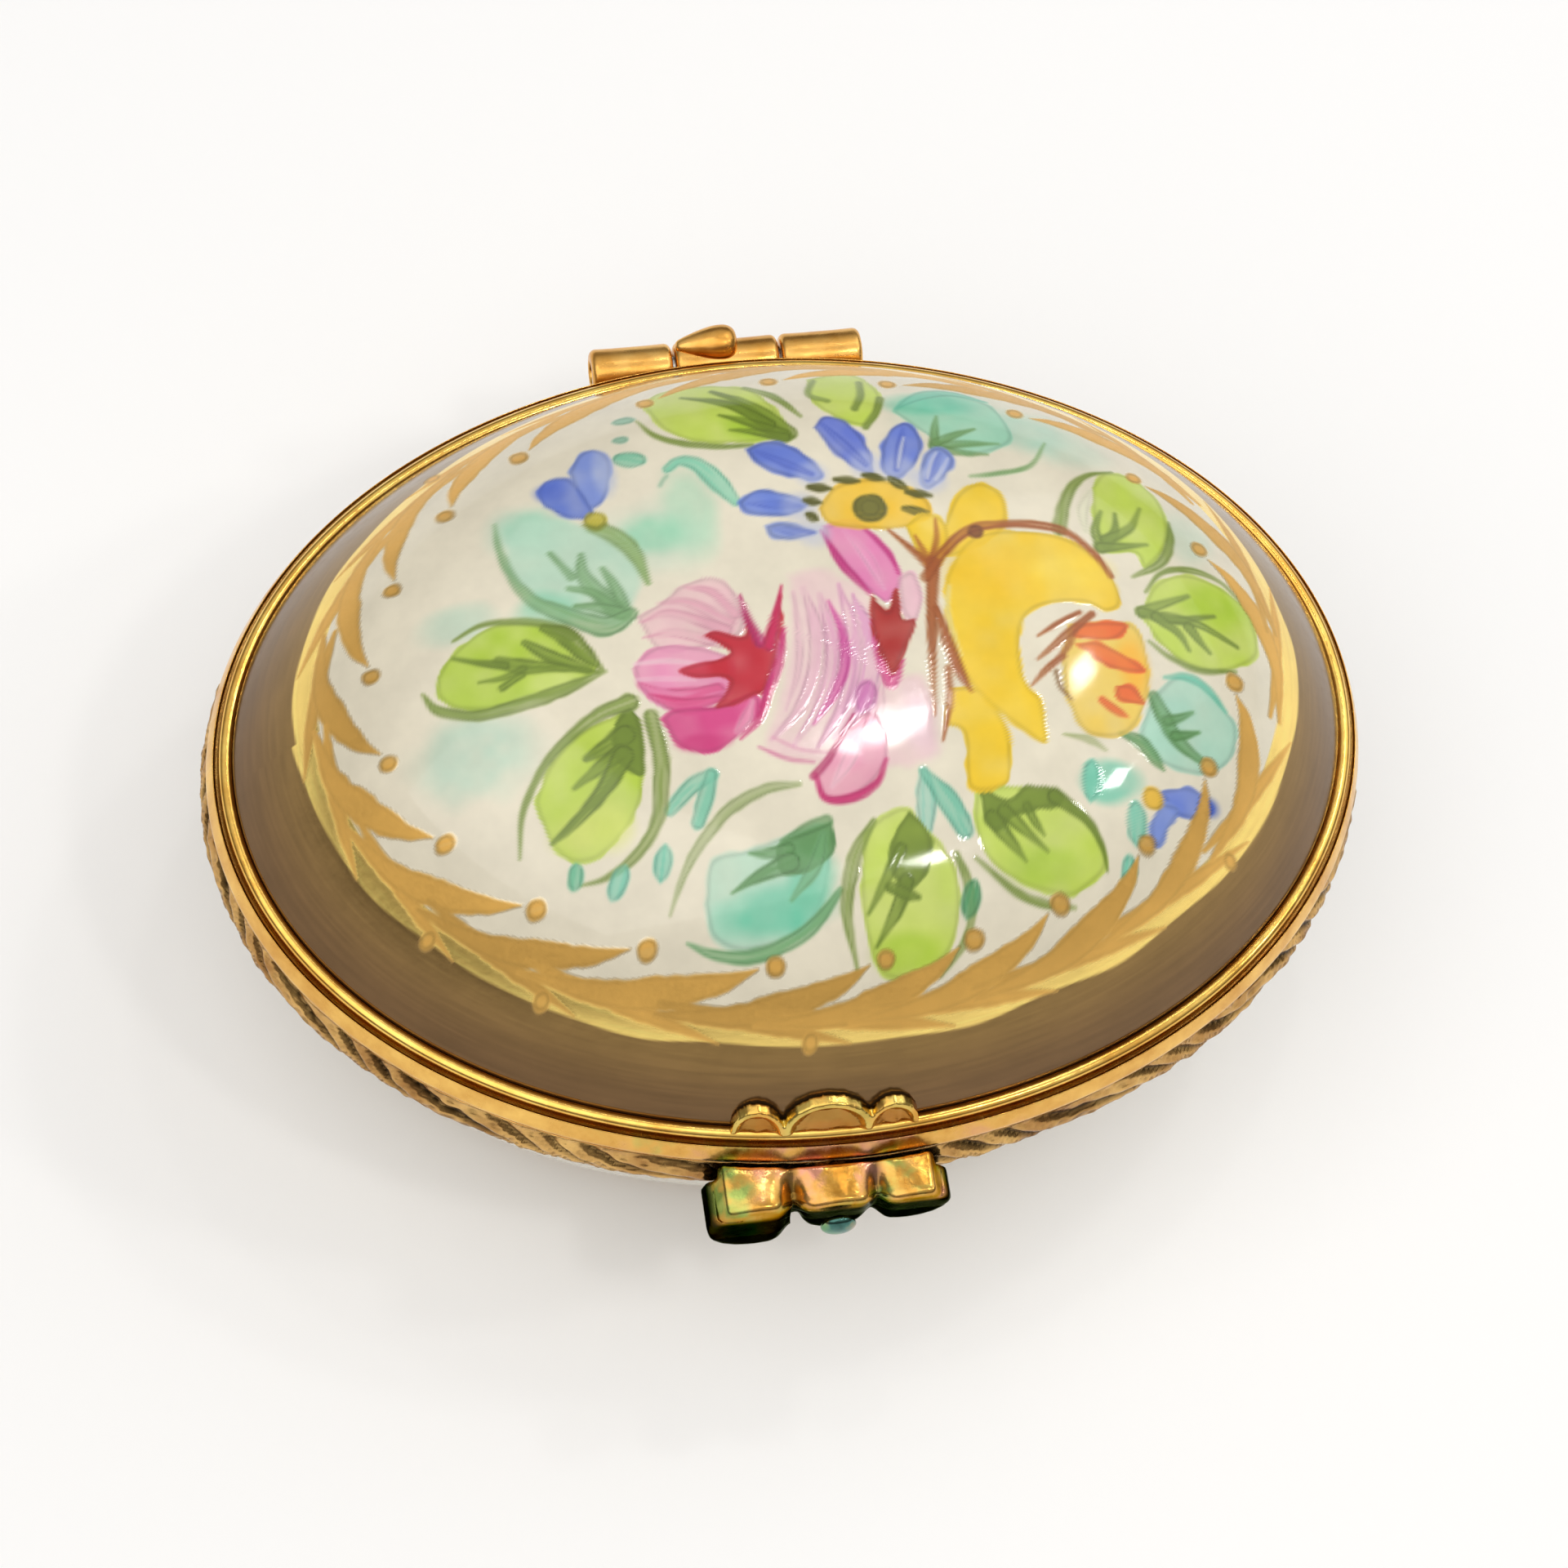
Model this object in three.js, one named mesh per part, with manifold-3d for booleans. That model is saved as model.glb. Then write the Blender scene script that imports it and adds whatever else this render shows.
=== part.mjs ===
// Hinged oval porcelain pill box with gilt brass mounts.
// Millimetres, +Z up, table at Z = 0, clasp towards -Y, hinge towards +Y.
import * as THREE from 'three';
import { mergeVertices } from 'three/addons/utils/BufferGeometryUtils.js';
import Module from 'manifold-3d';

const wasm = await Module();
wasm.setup();
const { Manifold, Mesh } = wasm;

// ---- the oval, measured at the foot of the lid porcelain ----
const HALF_LENGTH = 27.0;
const HALF_WIDTH = 20.0;
const OVAL_STEPS = 72;
const ROUND_STEPS = 24;

// ---- heights ----
const RIM_Z = 17.4; // where the lid porcelain leaves its brass
const DOME_RISE = 11.0;
const DOME_POWER = 4.5; // 2 would be an even curve; more is flatter on top and steeper at the edge
const LID_BEZEL_FOOT_Z = 15.4;
const BASE_BEZEL_TOP_Z = 15.1;
const BASE_BEZEL_FOOT_Z = 12.9;
const SEAM_Z = (LID_BEZEL_FOOT_Z + BASE_BEZEL_TOP_Z) / 2;

// ---- walls and mounts, sideways distances from the oval ----
const PORCELAIN = 2.0;
const FLOOR_THICKNESS = 2.4;
const LID_BEZEL_OUT = 1.45;
const BASE_BEZEL_OUT = 1.66;
const WIRE_RADIUS = 0.3;
const WIRE_OUT = 0.36;
const SHELF_Z = 16.6;
const CLOSE = 0.05; // play between pieces soldered or cemented together

// ---- hinge ----
const BARREL_RADIUS = 1.2;
const BARREL_END_FILLET = 0.4;
const BORE_RADIUS = 0.58;
const PIN_RADIUS = 0.52;
const BARREL_HALF = 6.85;
const MIDDLE_HALF = 2.62;
const KNUCKLE_GAP = 0.14;
const TURNING_CLEARANCE = 0.25;
const HINGE_Y = HALF_WIDTH + BASE_BEZEL_OUT;

// ---- clasp ----
const CLASP_X = -1.2; // soldered a little off the middle
const CLASP_TOP_Z = 15.75;
const CLASP_FRONT_Y = -23.5;
const CLASP_HANG = 0.3; // clearance to the base bezel behind it

const brass = (roughness, color) =>
  new THREE.MeshStandardMaterial({ color, roughness, metalness: 1.0 });
const SATIN_BRASS = brass(0.32, 0xd9a441);
const BRIGHT_BRASS = brass(0.2, 0xe0b050);
const CHASED_BRASS = brass(0.4, 0xb98a3a);
const CAST_BRASS = brass(0.3, 0xc99640);
const STEEL = brass(0.35, 0xa8a39a);
const GLAZED = new THREE.MeshStandardMaterial({ color: 0xece4d2, roughness: 0.15, metalness: 0.0 });

const group = new THREE.Group();
group.name = 'pill_box';

function add(name, geometry, material) {
  const mesh = new THREE.Mesh(geometry, material);
  mesh.name = name;
  group.add(mesh);
  return mesh;
}

// Sweeps a section round an oval. Each section point is [share of the half axes, sideways
// distance, height], listed with the solid on its left; a point with no share and no distance
// is a pole on the axis.
function sweep(section, steps, halfX, halfY) {
  const position = [];
  const rows = [];
  for (const [share, out, z] of section) {
    const pole = share === 0 && out === 0;
    const row = [];
    for (let j = 0; j < steps; j += 1) {
      if (!pole || j === 0) {
        const t = (2 * Math.PI * j) / steps;
        position.push((halfX * share + out) * Math.cos(t), (halfY * share + out) * Math.sin(t), z);
      }
      row.push(position.length / 3 - 1);
    }
    rows.push({ row, pole });
  }
  const open = rows[0].pole && rows[rows.length - 1].pole;
  const index = [];
  const last = open ? rows.length - 1 : rows.length;
  for (let i = 0; i < last; i += 1) {
    const a = rows[i];
    const b = rows[(i + 1) % rows.length];
    for (let j = 0; j < steps; j += 1) {
      const k = (j + 1) % steps;
      if (!a.pole) index.push(a.row[j], a.row[k], b.row[j]);
      if (!b.pole) index.push(b.row[j], a.row[k], b.row[k]);
    }
  }
  const geometry = new THREE.BufferGeometry();
  geometry.setAttribute('position', new THREE.Float32BufferAttribute(position, 3));
  geometry.setIndex(index);
  return geometry;
}

const oval = (section) => sweep(section, OVAL_STEPS, HALF_LENGTH, HALF_WIDTH);

// A turned piece: section points are [radius, distance along the axis].
function turned(section, steps = ROUND_STEPS) {
  return sweep(section.map(([r, z]) => [0, r, z]), steps, 0, 0);
}

// Lays a turned piece along X, on the hinge axis.
function onHingeAxis(geometry) {
  geometry.rotateY(Math.PI / 2);
  geometry.translate(0, HINGE_Y, SEAM_Z);
  return geometry;
}

function toManifold(geometry) {
  const bare = new THREE.BufferGeometry();
  bare.setAttribute('position', geometry.getAttribute('position'));
  if (geometry.index) bare.setIndex(geometry.index);
  const merged = mergeVertices(bare, 1e-4);
  return new Manifold(new Mesh({
    numProp: 3,
    vertProperties: new Float32Array(merged.getAttribute('position').array),
    triVerts: new Uint32Array(merged.index.array),
  }));
}

function toGeometry(manifold) {
  const mesh = manifold.getMesh();
  const geometry = new THREE.BufferGeometry();
  geometry.setAttribute('position', new THREE.BufferAttribute(new Float32Array(mesh.vertProperties), 3));
  geometry.setIndex(new THREE.BufferAttribute(new Uint32Array(mesh.triVerts), 1));
  return geometry;
}

const domeHeight = (rho) => 1 - rho ** DOME_POWER;

// Stations from the middle of a dome to its edge, closer together where it turns down.
const DOME_STATIONS = [0.25, 0.42, 0.55, 0.66, 0.75, 0.82, 0.88, 0.925, 0.965, 1.0];

// Section points up over the lid porcelain, raised outwards by some distance.
function domeOuter(raise) {
  const points = [...DOME_STATIONS].reverse()
    .map((rho) => [rho, raise * rho, RIM_Z + (DOME_RISE + raise) * domeHeight(rho)]);
  return [...points, [0, 0, RIM_Z + DOME_RISE + raise]];
}

// ---- porcelain ----
const PORCELAIN_FOOT_Z = 16.1; // lower edge of the lid porcelain, inside its bezel

function lidPorcelain() {
  const inner = DOME_STATIONS
    .map((rho) => [rho, -PORCELAIN * rho, RIM_Z + (DOME_RISE - PORCELAIN) * domeHeight(rho)]);
  return oval([
    [0, 0, RIM_Z + DOME_RISE - PORCELAIN],
    ...inner,
    [1, -PORCELAIN, PORCELAIN_FOOT_Z],
    [1, 0, PORCELAIN_FOOT_Z],
    ...domeOuter(0),
  ]);
}

function basePorcelain() {
  const top = BASE_BEZEL_TOP_Z - 0.7;
  const outside = [
    [0.72, 0, 0], [0.765, 0, 0.25], [0.815, 0, 1.0], [0.87, 0, 2.4],
    [0.92, 0, 4.4], [0.96, 0, 7.0], [0.985, 0, 9.8], [1, 0, 12.9],
  ];
  const inside = [
    [0.985, -PORCELAIN, 9.8], [0.96, -PORCELAIN, 7.2], [0.92, -PORCELAIN, 5.2],
    [0.87, -PORCELAIN, 3.8], [0.8, -PORCELAIN, 2.9], [0.68, -PORCELAIN, FLOOR_THICKNESS],
  ];
  return oval([
    [0, 0, 0], ...outside, [1, 0, top], [1, -PORCELAIN, top], ...inside, [0, 0, FLOOR_THICKNESS],
  ]);
}

// ---- brass rings ----
// A length of the hinge axis, as wide as what turns or is soldered there.
function barrelSpace(from, to, radius) {
  const rod = turned([[0, from], [radius, from], [radius, to], [0, to]]);
  return toManifold(onHingeAxis(rod));
}

// Cuts a ring back round the hinge barrel: snug where its own knuckles are soldered,
// clear where the other half's turn.
function hingeNotch(geometry, middleRadius, outerRadius) {
  const end = BARREL_HALF + TURNING_CLEARANCE;
  const split = MIDDLE_HALF + KNUCKLE_GAP / 2;
  let ring = toManifold(geometry);
  ring = ring.subtract(barrelSpace(-split, split, middleRadius));
  ring = ring.subtract(barrelSpace(split, end, outerRadius));
  ring = ring.subtract(barrelSpace(-end, -split, outerRadius));
  return toGeometry(ring);
}

const SNUG = BARREL_RADIUS + CLOSE;
const CLEAR = BARREL_RADIUS + TURNING_CLEARANCE;

function lidBezel() {
  const ring = oval([
    [1, -1.8, LID_BEZEL_FOOT_Z], [1, LID_BEZEL_OUT - 0.15, LID_BEZEL_FOOT_Z],
    [1, LID_BEZEL_OUT, LID_BEZEL_FOOT_Z + 0.15], [1, LID_BEZEL_OUT, LID_BEZEL_FOOT_Z + 0.35],
    [1, 0.98, SHELF_Z + 0.15], [1, 0.9, SHELF_Z],
    [1, CLOSE, SHELF_Z], [1, CLOSE, PORCELAIN_FOOT_Z - CLOSE], [1, -1.8, PORCELAIN_FOOT_Z - CLOSE],
  ]);
  return hingeNotch(ring, SNUG, CLEAR);
}

function lidWire() {
  const section = [];
  for (let i = 0; i < 8; i += 1) {
    const t = (2 * Math.PI * (i + 0.5)) / 8;
    const out = WIRE_OUT + WIRE_RADIUS * Math.cos(t);
    section.push([1, out, SHELF_Z + CLOSE + WIRE_RADIUS * (1 + Math.sin(t))]);
  }
  return oval(section);
}

function baseBezel() {
  const flange = BASE_BEZEL_TOP_Z - 0.6;
  const ring = oval([
    [1, 0.12, BASE_BEZEL_FOOT_Z], [1, BASE_BEZEL_OUT - 0.2, BASE_BEZEL_FOOT_Z],
    [1, BASE_BEZEL_OUT, BASE_BEZEL_FOOT_Z + 0.25], [1, BASE_BEZEL_OUT, BASE_BEZEL_TOP_Z - 0.25],
    [1, BASE_BEZEL_OUT - 0.2, BASE_BEZEL_TOP_Z], [1, -2.0, BASE_BEZEL_TOP_Z],
    [1, -2.0, flange], [1, 0.12, flange],
  ]);
  return hingeNotch(ring, CLEAR, SNUG);
}

// The thin strip that stands inside the base bezel and centres the closed lid.
function locatingLip() {
  return oval([
    [1, -2.45, 14.5], [1, -2.05, 14.5], [1, -2.05, 15.9], [1, -2.15, 16.0],
    [1, -2.35, 16.0], [1, -2.45, 15.9],
  ]);
}

// ---- hinge ----
// Tube from x0 to x1; its x1 end is rounded over when it is an outer knuckle.
function knuckle(x0, x1, roundedEnd) {
  const r = BARREL_RADIUS;
  const f = BARREL_END_FILLET;
  const end = roundedEnd
    ? [[r, x1 - f], [r - 0.3 * f, x1 - 0.3 * f], [r - f, x1]]
    : [[r, x1]];
  return turned([[BORE_RADIUS, x0], [r, x0], ...end, [BORE_RADIUS, x1]]);
}

function outerKnuckle(side) {
  const tube = knuckle(MIDDLE_HALF + KNUCKLE_GAP, BARREL_HALF, true);
  if (side < 0) tube.rotateY(Math.PI);
  return onHingeAxis(tube);
}

function hingePin() {
  const end = BARREL_HALF - 0.1;
  return onHingeAxis(turned([
    [0, -end], [PIN_RADIUS - 0.15, -end], [PIN_RADIUS, -end + 0.15],
    [PIN_RADIUS, end - 0.15], [PIN_RADIUS - 0.15, end], [0, end],
  ]));
}

// The cast teardrop riding on the middle knuckle, thick end to the right of centre.
function hingeTeardrop() {
  const drop = turned([
    [0, -2.55], [0.3, -2.45], [0.62, -1.7], [0.86, -0.95], [0.95, -0.4], [0.92, 0.05],
    [0.72, 0.38], [0.4, 0.52], [0, 0.56],
  ], 20);
  drop.rotateY(Math.PI / 2);
  drop.translate(0, HINGE_Y + 0.55, SEAM_Z + 1.05);
  const ringSpace = toManifold(oval([
    [0, 0, 14], [1, LID_BEZEL_OUT + CLOSE, 14], [1, LID_BEZEL_OUT + CLOSE, 15.8],
    [1, 1.03, SHELF_Z + 0.25], [1, 1.03, 17.6], [0, 0, 17.6],
  ]));
  const barrel = barrelSpace(-3, 3, SNUG);
  return toGeometry(toManifold(drop).subtract(ringSpace).subtract(barrel));
}

// ---- clasp ----
// A slab of an outline drawn in X and Z, from yBack towards -Y.
function slab(shape, yBack, depth, bevel) {
  const geometry = new THREE.ExtrudeGeometry(shape, {
    depth: depth - 2 * bevel,
    bevelEnabled: bevel > 0,
    bevelSize: bevel,
    bevelThickness: bevel,
    bevelOffset: -bevel,
    bevelSegments: 1,
    curveSegments: 8,
  });
  geometry.rotateX(Math.PI / 2);
  geometry.translate(CLASP_X, yBack - bevel, 0);
  return toManifold(geometry);
}

function lobe(x, z, halfX, halfZ) {
  const shape = new THREE.Shape();
  shape.absellipse(x, z, halfX, halfZ, 0, 2 * Math.PI, false, 0);
  return shape;
}

// Three scallops lying up the side of the dome, above the wire.
function claspCrest() {
  const layer = (raise) => toManifold(oval([
    [0, 0, RIM_Z - 0.07], [1, raise, RIM_Z - 0.07], ...domeOuter(raise),
  ]));
  const shell = layer(0.62).subtract(layer(0.1));
  const lobes = [[0, 17.5, 1.75, 1.75], [-3.2, 17.3, 1.55, 1.55], [2.95, 17.3, 1.55, 1.55]];
  const outline = lobes
    .map(([x, z, hx, hz]) => slab(lobe(x, z, hx, hz), -12, 12, 0))
    .reduce((all, next) => all.add(next));
  return toGeometry(shell.intersect(outline));
}

// The three-lobed bow that hangs from the lid bezel over the front of the base bezel.
function claspBow() {
  const reach = -CLASP_FRONT_Y - 20.4;
  const bar = new THREE.Shape();
  bar.moveTo(-5.3, 14.2);
  bar.lineTo(5.1, 14.2);
  bar.lineTo(5.3, 15.0);
  bar.lineTo(4.9, CLASP_TOP_Z);
  bar.lineTo(-5.0, CLASP_TOP_Z);
  bar.lineTo(-5.5, 15.0);
  const lobes = [[-3.65, 13.75, 2.3, 1.95], [0.3, 13.6, 1.75, 1.85], [3.75, 13.75, 2.15, 1.85]];
  let bow = slab(bar, -20.4, reach, 0.2);
  for (const [x, z, hx, hz] of lobes) {
    bow = bow.add(slab(lobe(x, z, hx, hz), -20.4, reach, 0.2));
  }
  const behind = toManifold(oval([
    [0, 0, 10], [1, BASE_BEZEL_OUT + CLASP_HANG, 10], [1, BASE_BEZEL_OUT + CLASP_HANG, 15.3],
    [1, LID_BEZEL_OUT + CLOSE, 15.3], [1, LID_BEZEL_OUT + CLOSE, 17], [0, 0, 17],
  ]));
  const slot = new THREE.Shape();
  slot.moveTo(-0.9, 11);
  slot.lineTo(0.9, 11);
  slot.lineTo(0.9, 14.9);
  slot.lineTo(-0.9, 14.9);
  return toGeometry(bow.subtract(behind).subtract(slab(slot, -20.4, 2.1, 0)));
}

function claspBead() {
  const bead = turned([
    [0, 0], [0.86, 0], [0.8, 0.3], [0.6, 0.56], [0.3, 0.7], [0, 0.74],
  ], 20);
  bead.rotateX(Math.PI / 2);
  bead.translate(CLASP_X + 0.3, CLASP_FRONT_Y - CLOSE, 13.9);
  return bead;
}

// The small catch on the base bezel, in the slot behind the bow.
function catchNub() {
  const nub = turned([[0, 0], [0.6, 0], [0.6, 0.55], [0.45, 0.75], [0, 0.8]], 16);
  nub.rotateX(Math.PI / 2);
  nub.translate(CLASP_X, -21.35, 14.0);
  const bezel = toManifold(oval([
    [0, 0, 12], [1, BASE_BEZEL_OUT + 0.02, 12], [1, BASE_BEZEL_OUT + 0.02, 16], [0, 0, 16],
  ]));
  return toGeometry(toManifold(nub).subtract(bezel));
}

add('base_porcelain', basePorcelain(), GLAZED);
add('base_bezel', baseBezel(), CHASED_BRASS);
add('locating_lip', locatingLip(), SATIN_BRASS);
add('catch_nub', catchNub(), CAST_BRASS);
add('hinge_knuckle_left', outerKnuckle(-1), SATIN_BRASS);
add('hinge_knuckle_right', outerKnuckle(1), SATIN_BRASS);
add('hinge_pin', hingePin(), STEEL);
add('lid_porcelain', lidPorcelain(), GLAZED);
add('lid_bezel', lidBezel(), SATIN_BRASS);
add('lid_wire', lidWire(), BRIGHT_BRASS);
add('hinge_knuckle_middle', onHingeAxis(knuckle(-MIDDLE_HALF, MIDDLE_HALF, false)), SATIN_BRASS);
add('hinge_teardrop', hingeTeardrop(), CAST_BRASS);
add('clasp_crest', claspCrest(), CAST_BRASS);
add('clasp_bow', claspBow(), CAST_BRASS);
add('clasp_bead', claspBead(), BRIGHT_BRASS);

export default group;
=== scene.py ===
"""Hinged oval pill box: hand-painted porcelain in gilt brass mounts. Blender 4.5."""

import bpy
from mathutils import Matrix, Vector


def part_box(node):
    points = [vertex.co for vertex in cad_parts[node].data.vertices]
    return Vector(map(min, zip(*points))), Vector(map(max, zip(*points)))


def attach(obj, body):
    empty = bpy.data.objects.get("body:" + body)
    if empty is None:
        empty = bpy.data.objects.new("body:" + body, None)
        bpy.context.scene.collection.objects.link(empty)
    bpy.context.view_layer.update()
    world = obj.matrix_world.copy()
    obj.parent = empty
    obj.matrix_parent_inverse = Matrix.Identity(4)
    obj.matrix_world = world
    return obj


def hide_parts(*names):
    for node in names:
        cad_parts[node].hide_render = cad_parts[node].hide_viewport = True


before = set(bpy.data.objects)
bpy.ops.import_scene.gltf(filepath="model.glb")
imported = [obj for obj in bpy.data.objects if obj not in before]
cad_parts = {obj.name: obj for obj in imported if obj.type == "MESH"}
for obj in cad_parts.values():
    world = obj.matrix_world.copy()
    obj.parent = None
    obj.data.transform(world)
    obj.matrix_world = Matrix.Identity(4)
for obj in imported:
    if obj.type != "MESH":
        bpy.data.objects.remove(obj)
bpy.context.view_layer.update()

import math

import bpy
import numpy as np
from mathutils import Matrix, Vector

MM = 0.001

# Shared measures in millimetres. The lid is an oval dome that falls off as DOME_POWER says.
lid_low, lid_high = (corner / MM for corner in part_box("lid_porcelain"))
HALF_X = lid_high.x
HALF_Y = lid_high.y
RIM_Z = lid_low.z + 1.3
DOME_RISE = lid_high.z - RIM_Z
DOME_POWER = 4.5
WALL = 2.0
base_low, base_high = (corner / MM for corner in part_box("base_bezel"))
HINGE = [(a + b) / 2 / MM for a, b in zip(*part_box("hinge_pin"))]
bow_low, bow_high = (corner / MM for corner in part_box("clasp_bow"))
CLASP_X = (bow_low.x + bow_high.x) / 2
MEAN_RADIUS = (HALF_X + HALF_Y) / 2
BARREL_RADIUS, BORE_RADIUS = 1.2, 0.58


# ---------------------------------------------------------------- small helpers
def linear(r, g, b):
    """A colour given as 0-255 screen values, as the linear values that shaders take."""
    return tuple((c / 255) ** 2.2 for c in (r, g, b))


def smooth(low, high, value):
    t = np.clip((value - low) / (high - low), 0, 1)
    return t * t * (3 - 2 * t)


def lattice_noise(x, y, seed):
    """Smooth random values from 0 to 1 over a plane, one cell per unit."""
    table = np.random.RandomState(seed).rand(64, 64)
    ix, iy = np.floor(x).astype(int), np.floor(y).astype(int)
    fx, fy = x - ix, y - iy
    fx, fy = fx * fx * (3 - 2 * fx), fy * fy * (3 - 2 * fy)
    near = table[ix % 64, iy % 64] * (1 - fx) + table[(ix + 1) % 64, iy % 64] * fx
    far = table[ix % 64, (iy + 1) % 64] * (1 - fx) + table[(ix + 1) % 64, (iy + 1) % 64] * fx
    return near * (1 - fy) + far * fy


def mesh_object(name, points, faces, body, node):
    """A new piece from points in millimetres, riding on a body in place of a CAD node."""
    mesh = bpy.data.meshes.new(name)
    mesh.from_pydata([tuple(c * MM for c in p) for p in points], [], faces)
    mesh.validate()
    piece = bpy.data.objects.new(name, mesh)
    bpy.context.scene.collection.objects.link(piece)
    mesh.polygons.foreach_set("use_smooth", [True] * len(mesh.polygons))
    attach(piece, body)
    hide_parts(node)
    return piece


def store(piece, name, values):
    """Keeps a number or a colour for every point of a piece, for its material to read."""
    values = np.asarray(values, float)
    if values.ndim == 1:
        attribute = piece.data.attributes.new(name, "FLOAT", "POINT")
        attribute.data.foreach_set("value", values)
    else:
        attribute = piece.data.attributes.new(name, "FLOAT_COLOR", "POINT")
        colors = np.column_stack([values, np.ones(len(values))])
        attribute.data.foreach_set("color", colors.ravel())


def grid_faces(rows, columns, wrap_rows=False):
    """Quads joining rows of points; columns close on themselves, rows only if asked."""
    faces = []
    for i in range(rows if wrap_rows else rows - 1):
        a, b = i * columns, (i + 1) % rows * columns
        for j in range(columns):
            k = (j + 1) % columns
            faces.append((a + j, a + k, b + k, b + j))
    return faces


def oval_sweep(section, steps):
    """Points of a section (distance outside the lid's oval, height) swept round it."""
    points = []
    for out, z in section:
        for j in range(steps):
            t = 2 * math.pi * j / steps
            points.append(((HALF_X + out) * math.cos(t), (HALF_Y + out) * math.sin(t), z))
    return points


def rounded(section, radius, steps=4):
    """A closed section with its corners rounded, for light to catch on."""
    points = []
    for i, (x, z) in enumerate(section):
        before, after = section[i - 1], section[(i + 1) % len(section)]
        corner = Vector((x, z))
        a, b = Vector(before) - corner, Vector(after) - corner
        r = min(radius, a.length * 0.45, b.length * 0.45)
        start, end = corner + a.normalized() * r, corner + b.normalized() * r
        for s in range(steps + 1):
            t = s / steps
            points.append(tuple(start * (1 - t) ** 2 + corner * 2 * t * (1 - t) + end * t * t))
    return points


# ---------------------------------------------------------------- camera, light, floor
def look(name, data, place, aim, roll=0.0):
    """Puts a camera or a light at a place in millimetres, turned towards its aim."""
    thing = bpy.data.objects.new(name, data)
    bpy.context.scene.collection.objects.link(thing)
    away = (Vector(place) - Vector(aim)).normalized()
    right = Vector((0, 0, 1)).cross(away).normalized()
    up = away.cross(right)
    turn = Matrix((right, up, away)).transposed() @ Matrix.Rotation(roll, 3, "Z")
    thing.matrix_world = Matrix.Translation(Vector(place) * MM) @ turn.to_4x4()
    return thing


def from_angle(azimuth, elevation, distance, aim):
    """A place seen from the aim at these angles. Azimuth 0 is in front, on the clasp's side."""
    a, e = math.radians(azimuth), math.radians(elevation)
    away = Vector((math.sin(a) * math.cos(e), -math.cos(a) * math.cos(e), math.sin(e)))
    return Vector(aim) + away * distance


def make_camera():
    """A long lens high over the front, a little to the left and tilted, as in the photograph."""
    data = bpy.data.cameras.new("camera")
    data.lens = 133.3
    data.sensor_width = 36
    data.clip_start = 0.01
    data.clip_end = 20
    aim = (-0.73, -2.54, RIM_Z)
    camera = look("camera", data, from_angle(-19.74, 65.3, 280, aim), aim, math.radians(12.6))
    bpy.context.scene.camera = camera


def make_light(name, azimuth, elevation, distance, size, power, color):
    data = bpy.data.lights.new(name, "AREA")
    data.shape = "RECTANGLE"
    data.size = size * MM
    data.size_y = size * MM
    data.energy = power
    data.color = color
    aim = (0, 0, 15)
    look(name, data, from_angle(azimuth, elevation, distance, aim), aim)


def make_stage():
    """A pale floor, and a studio round it that is bright above and dim along the horizon."""
    mesh = bpy.data.meshes.new("floor")
    half = 3.0
    corners = [(-half, -half, 0), (half, -half, 0), (half, half, 0), (-half, half, 0)]
    mesh.from_pydata(corners, [], [(0, 1, 2, 3)])
    floor = bpy.data.objects.new("floor", mesh)
    bpy.context.scene.collection.objects.link(floor)
    paper = bpy.data.materials.new("floor_paper")
    paper.use_nodes = True
    shader = paper.node_tree.nodes["Principled BSDF"]
    shader.inputs["Base Color"].default_value = (0.97, 0.97, 0.97, 1)
    shader.inputs["Roughness"].default_value = 0.9
    mesh.materials.append(paper)

    world = bpy.data.worlds.new("studio")
    bpy.context.scene.world = world
    world.use_nodes = True
    nodes, links = world.node_tree.nodes, world.node_tree.links
    coordinates = nodes.new("ShaderNodeTexCoord")
    height = nodes.new("ShaderNodeSeparateXYZ")
    ramp = nodes.new("ShaderNodeValToRGB")
    below, above = ramp.color_ramp.elements
    below.position = 0.0
    below.color = (0.22, 0.20, 0.18, 1)
    above.position = 0.75
    above.color = (0.95, 0.95, 0.95, 1)
    middle = ramp.color_ramp.elements.new(0.35)
    middle.color = (0.30, 0.28, 0.26, 1)
    links.new(coordinates.outputs["Generated"], height.inputs[0])
    links.new(height.outputs["Z"], ramp.inputs[0])
    links.new(ramp.outputs["Color"], nodes["Background"].inputs["Color"])
    nodes["Background"].inputs["Strength"].default_value = 0.82


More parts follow.
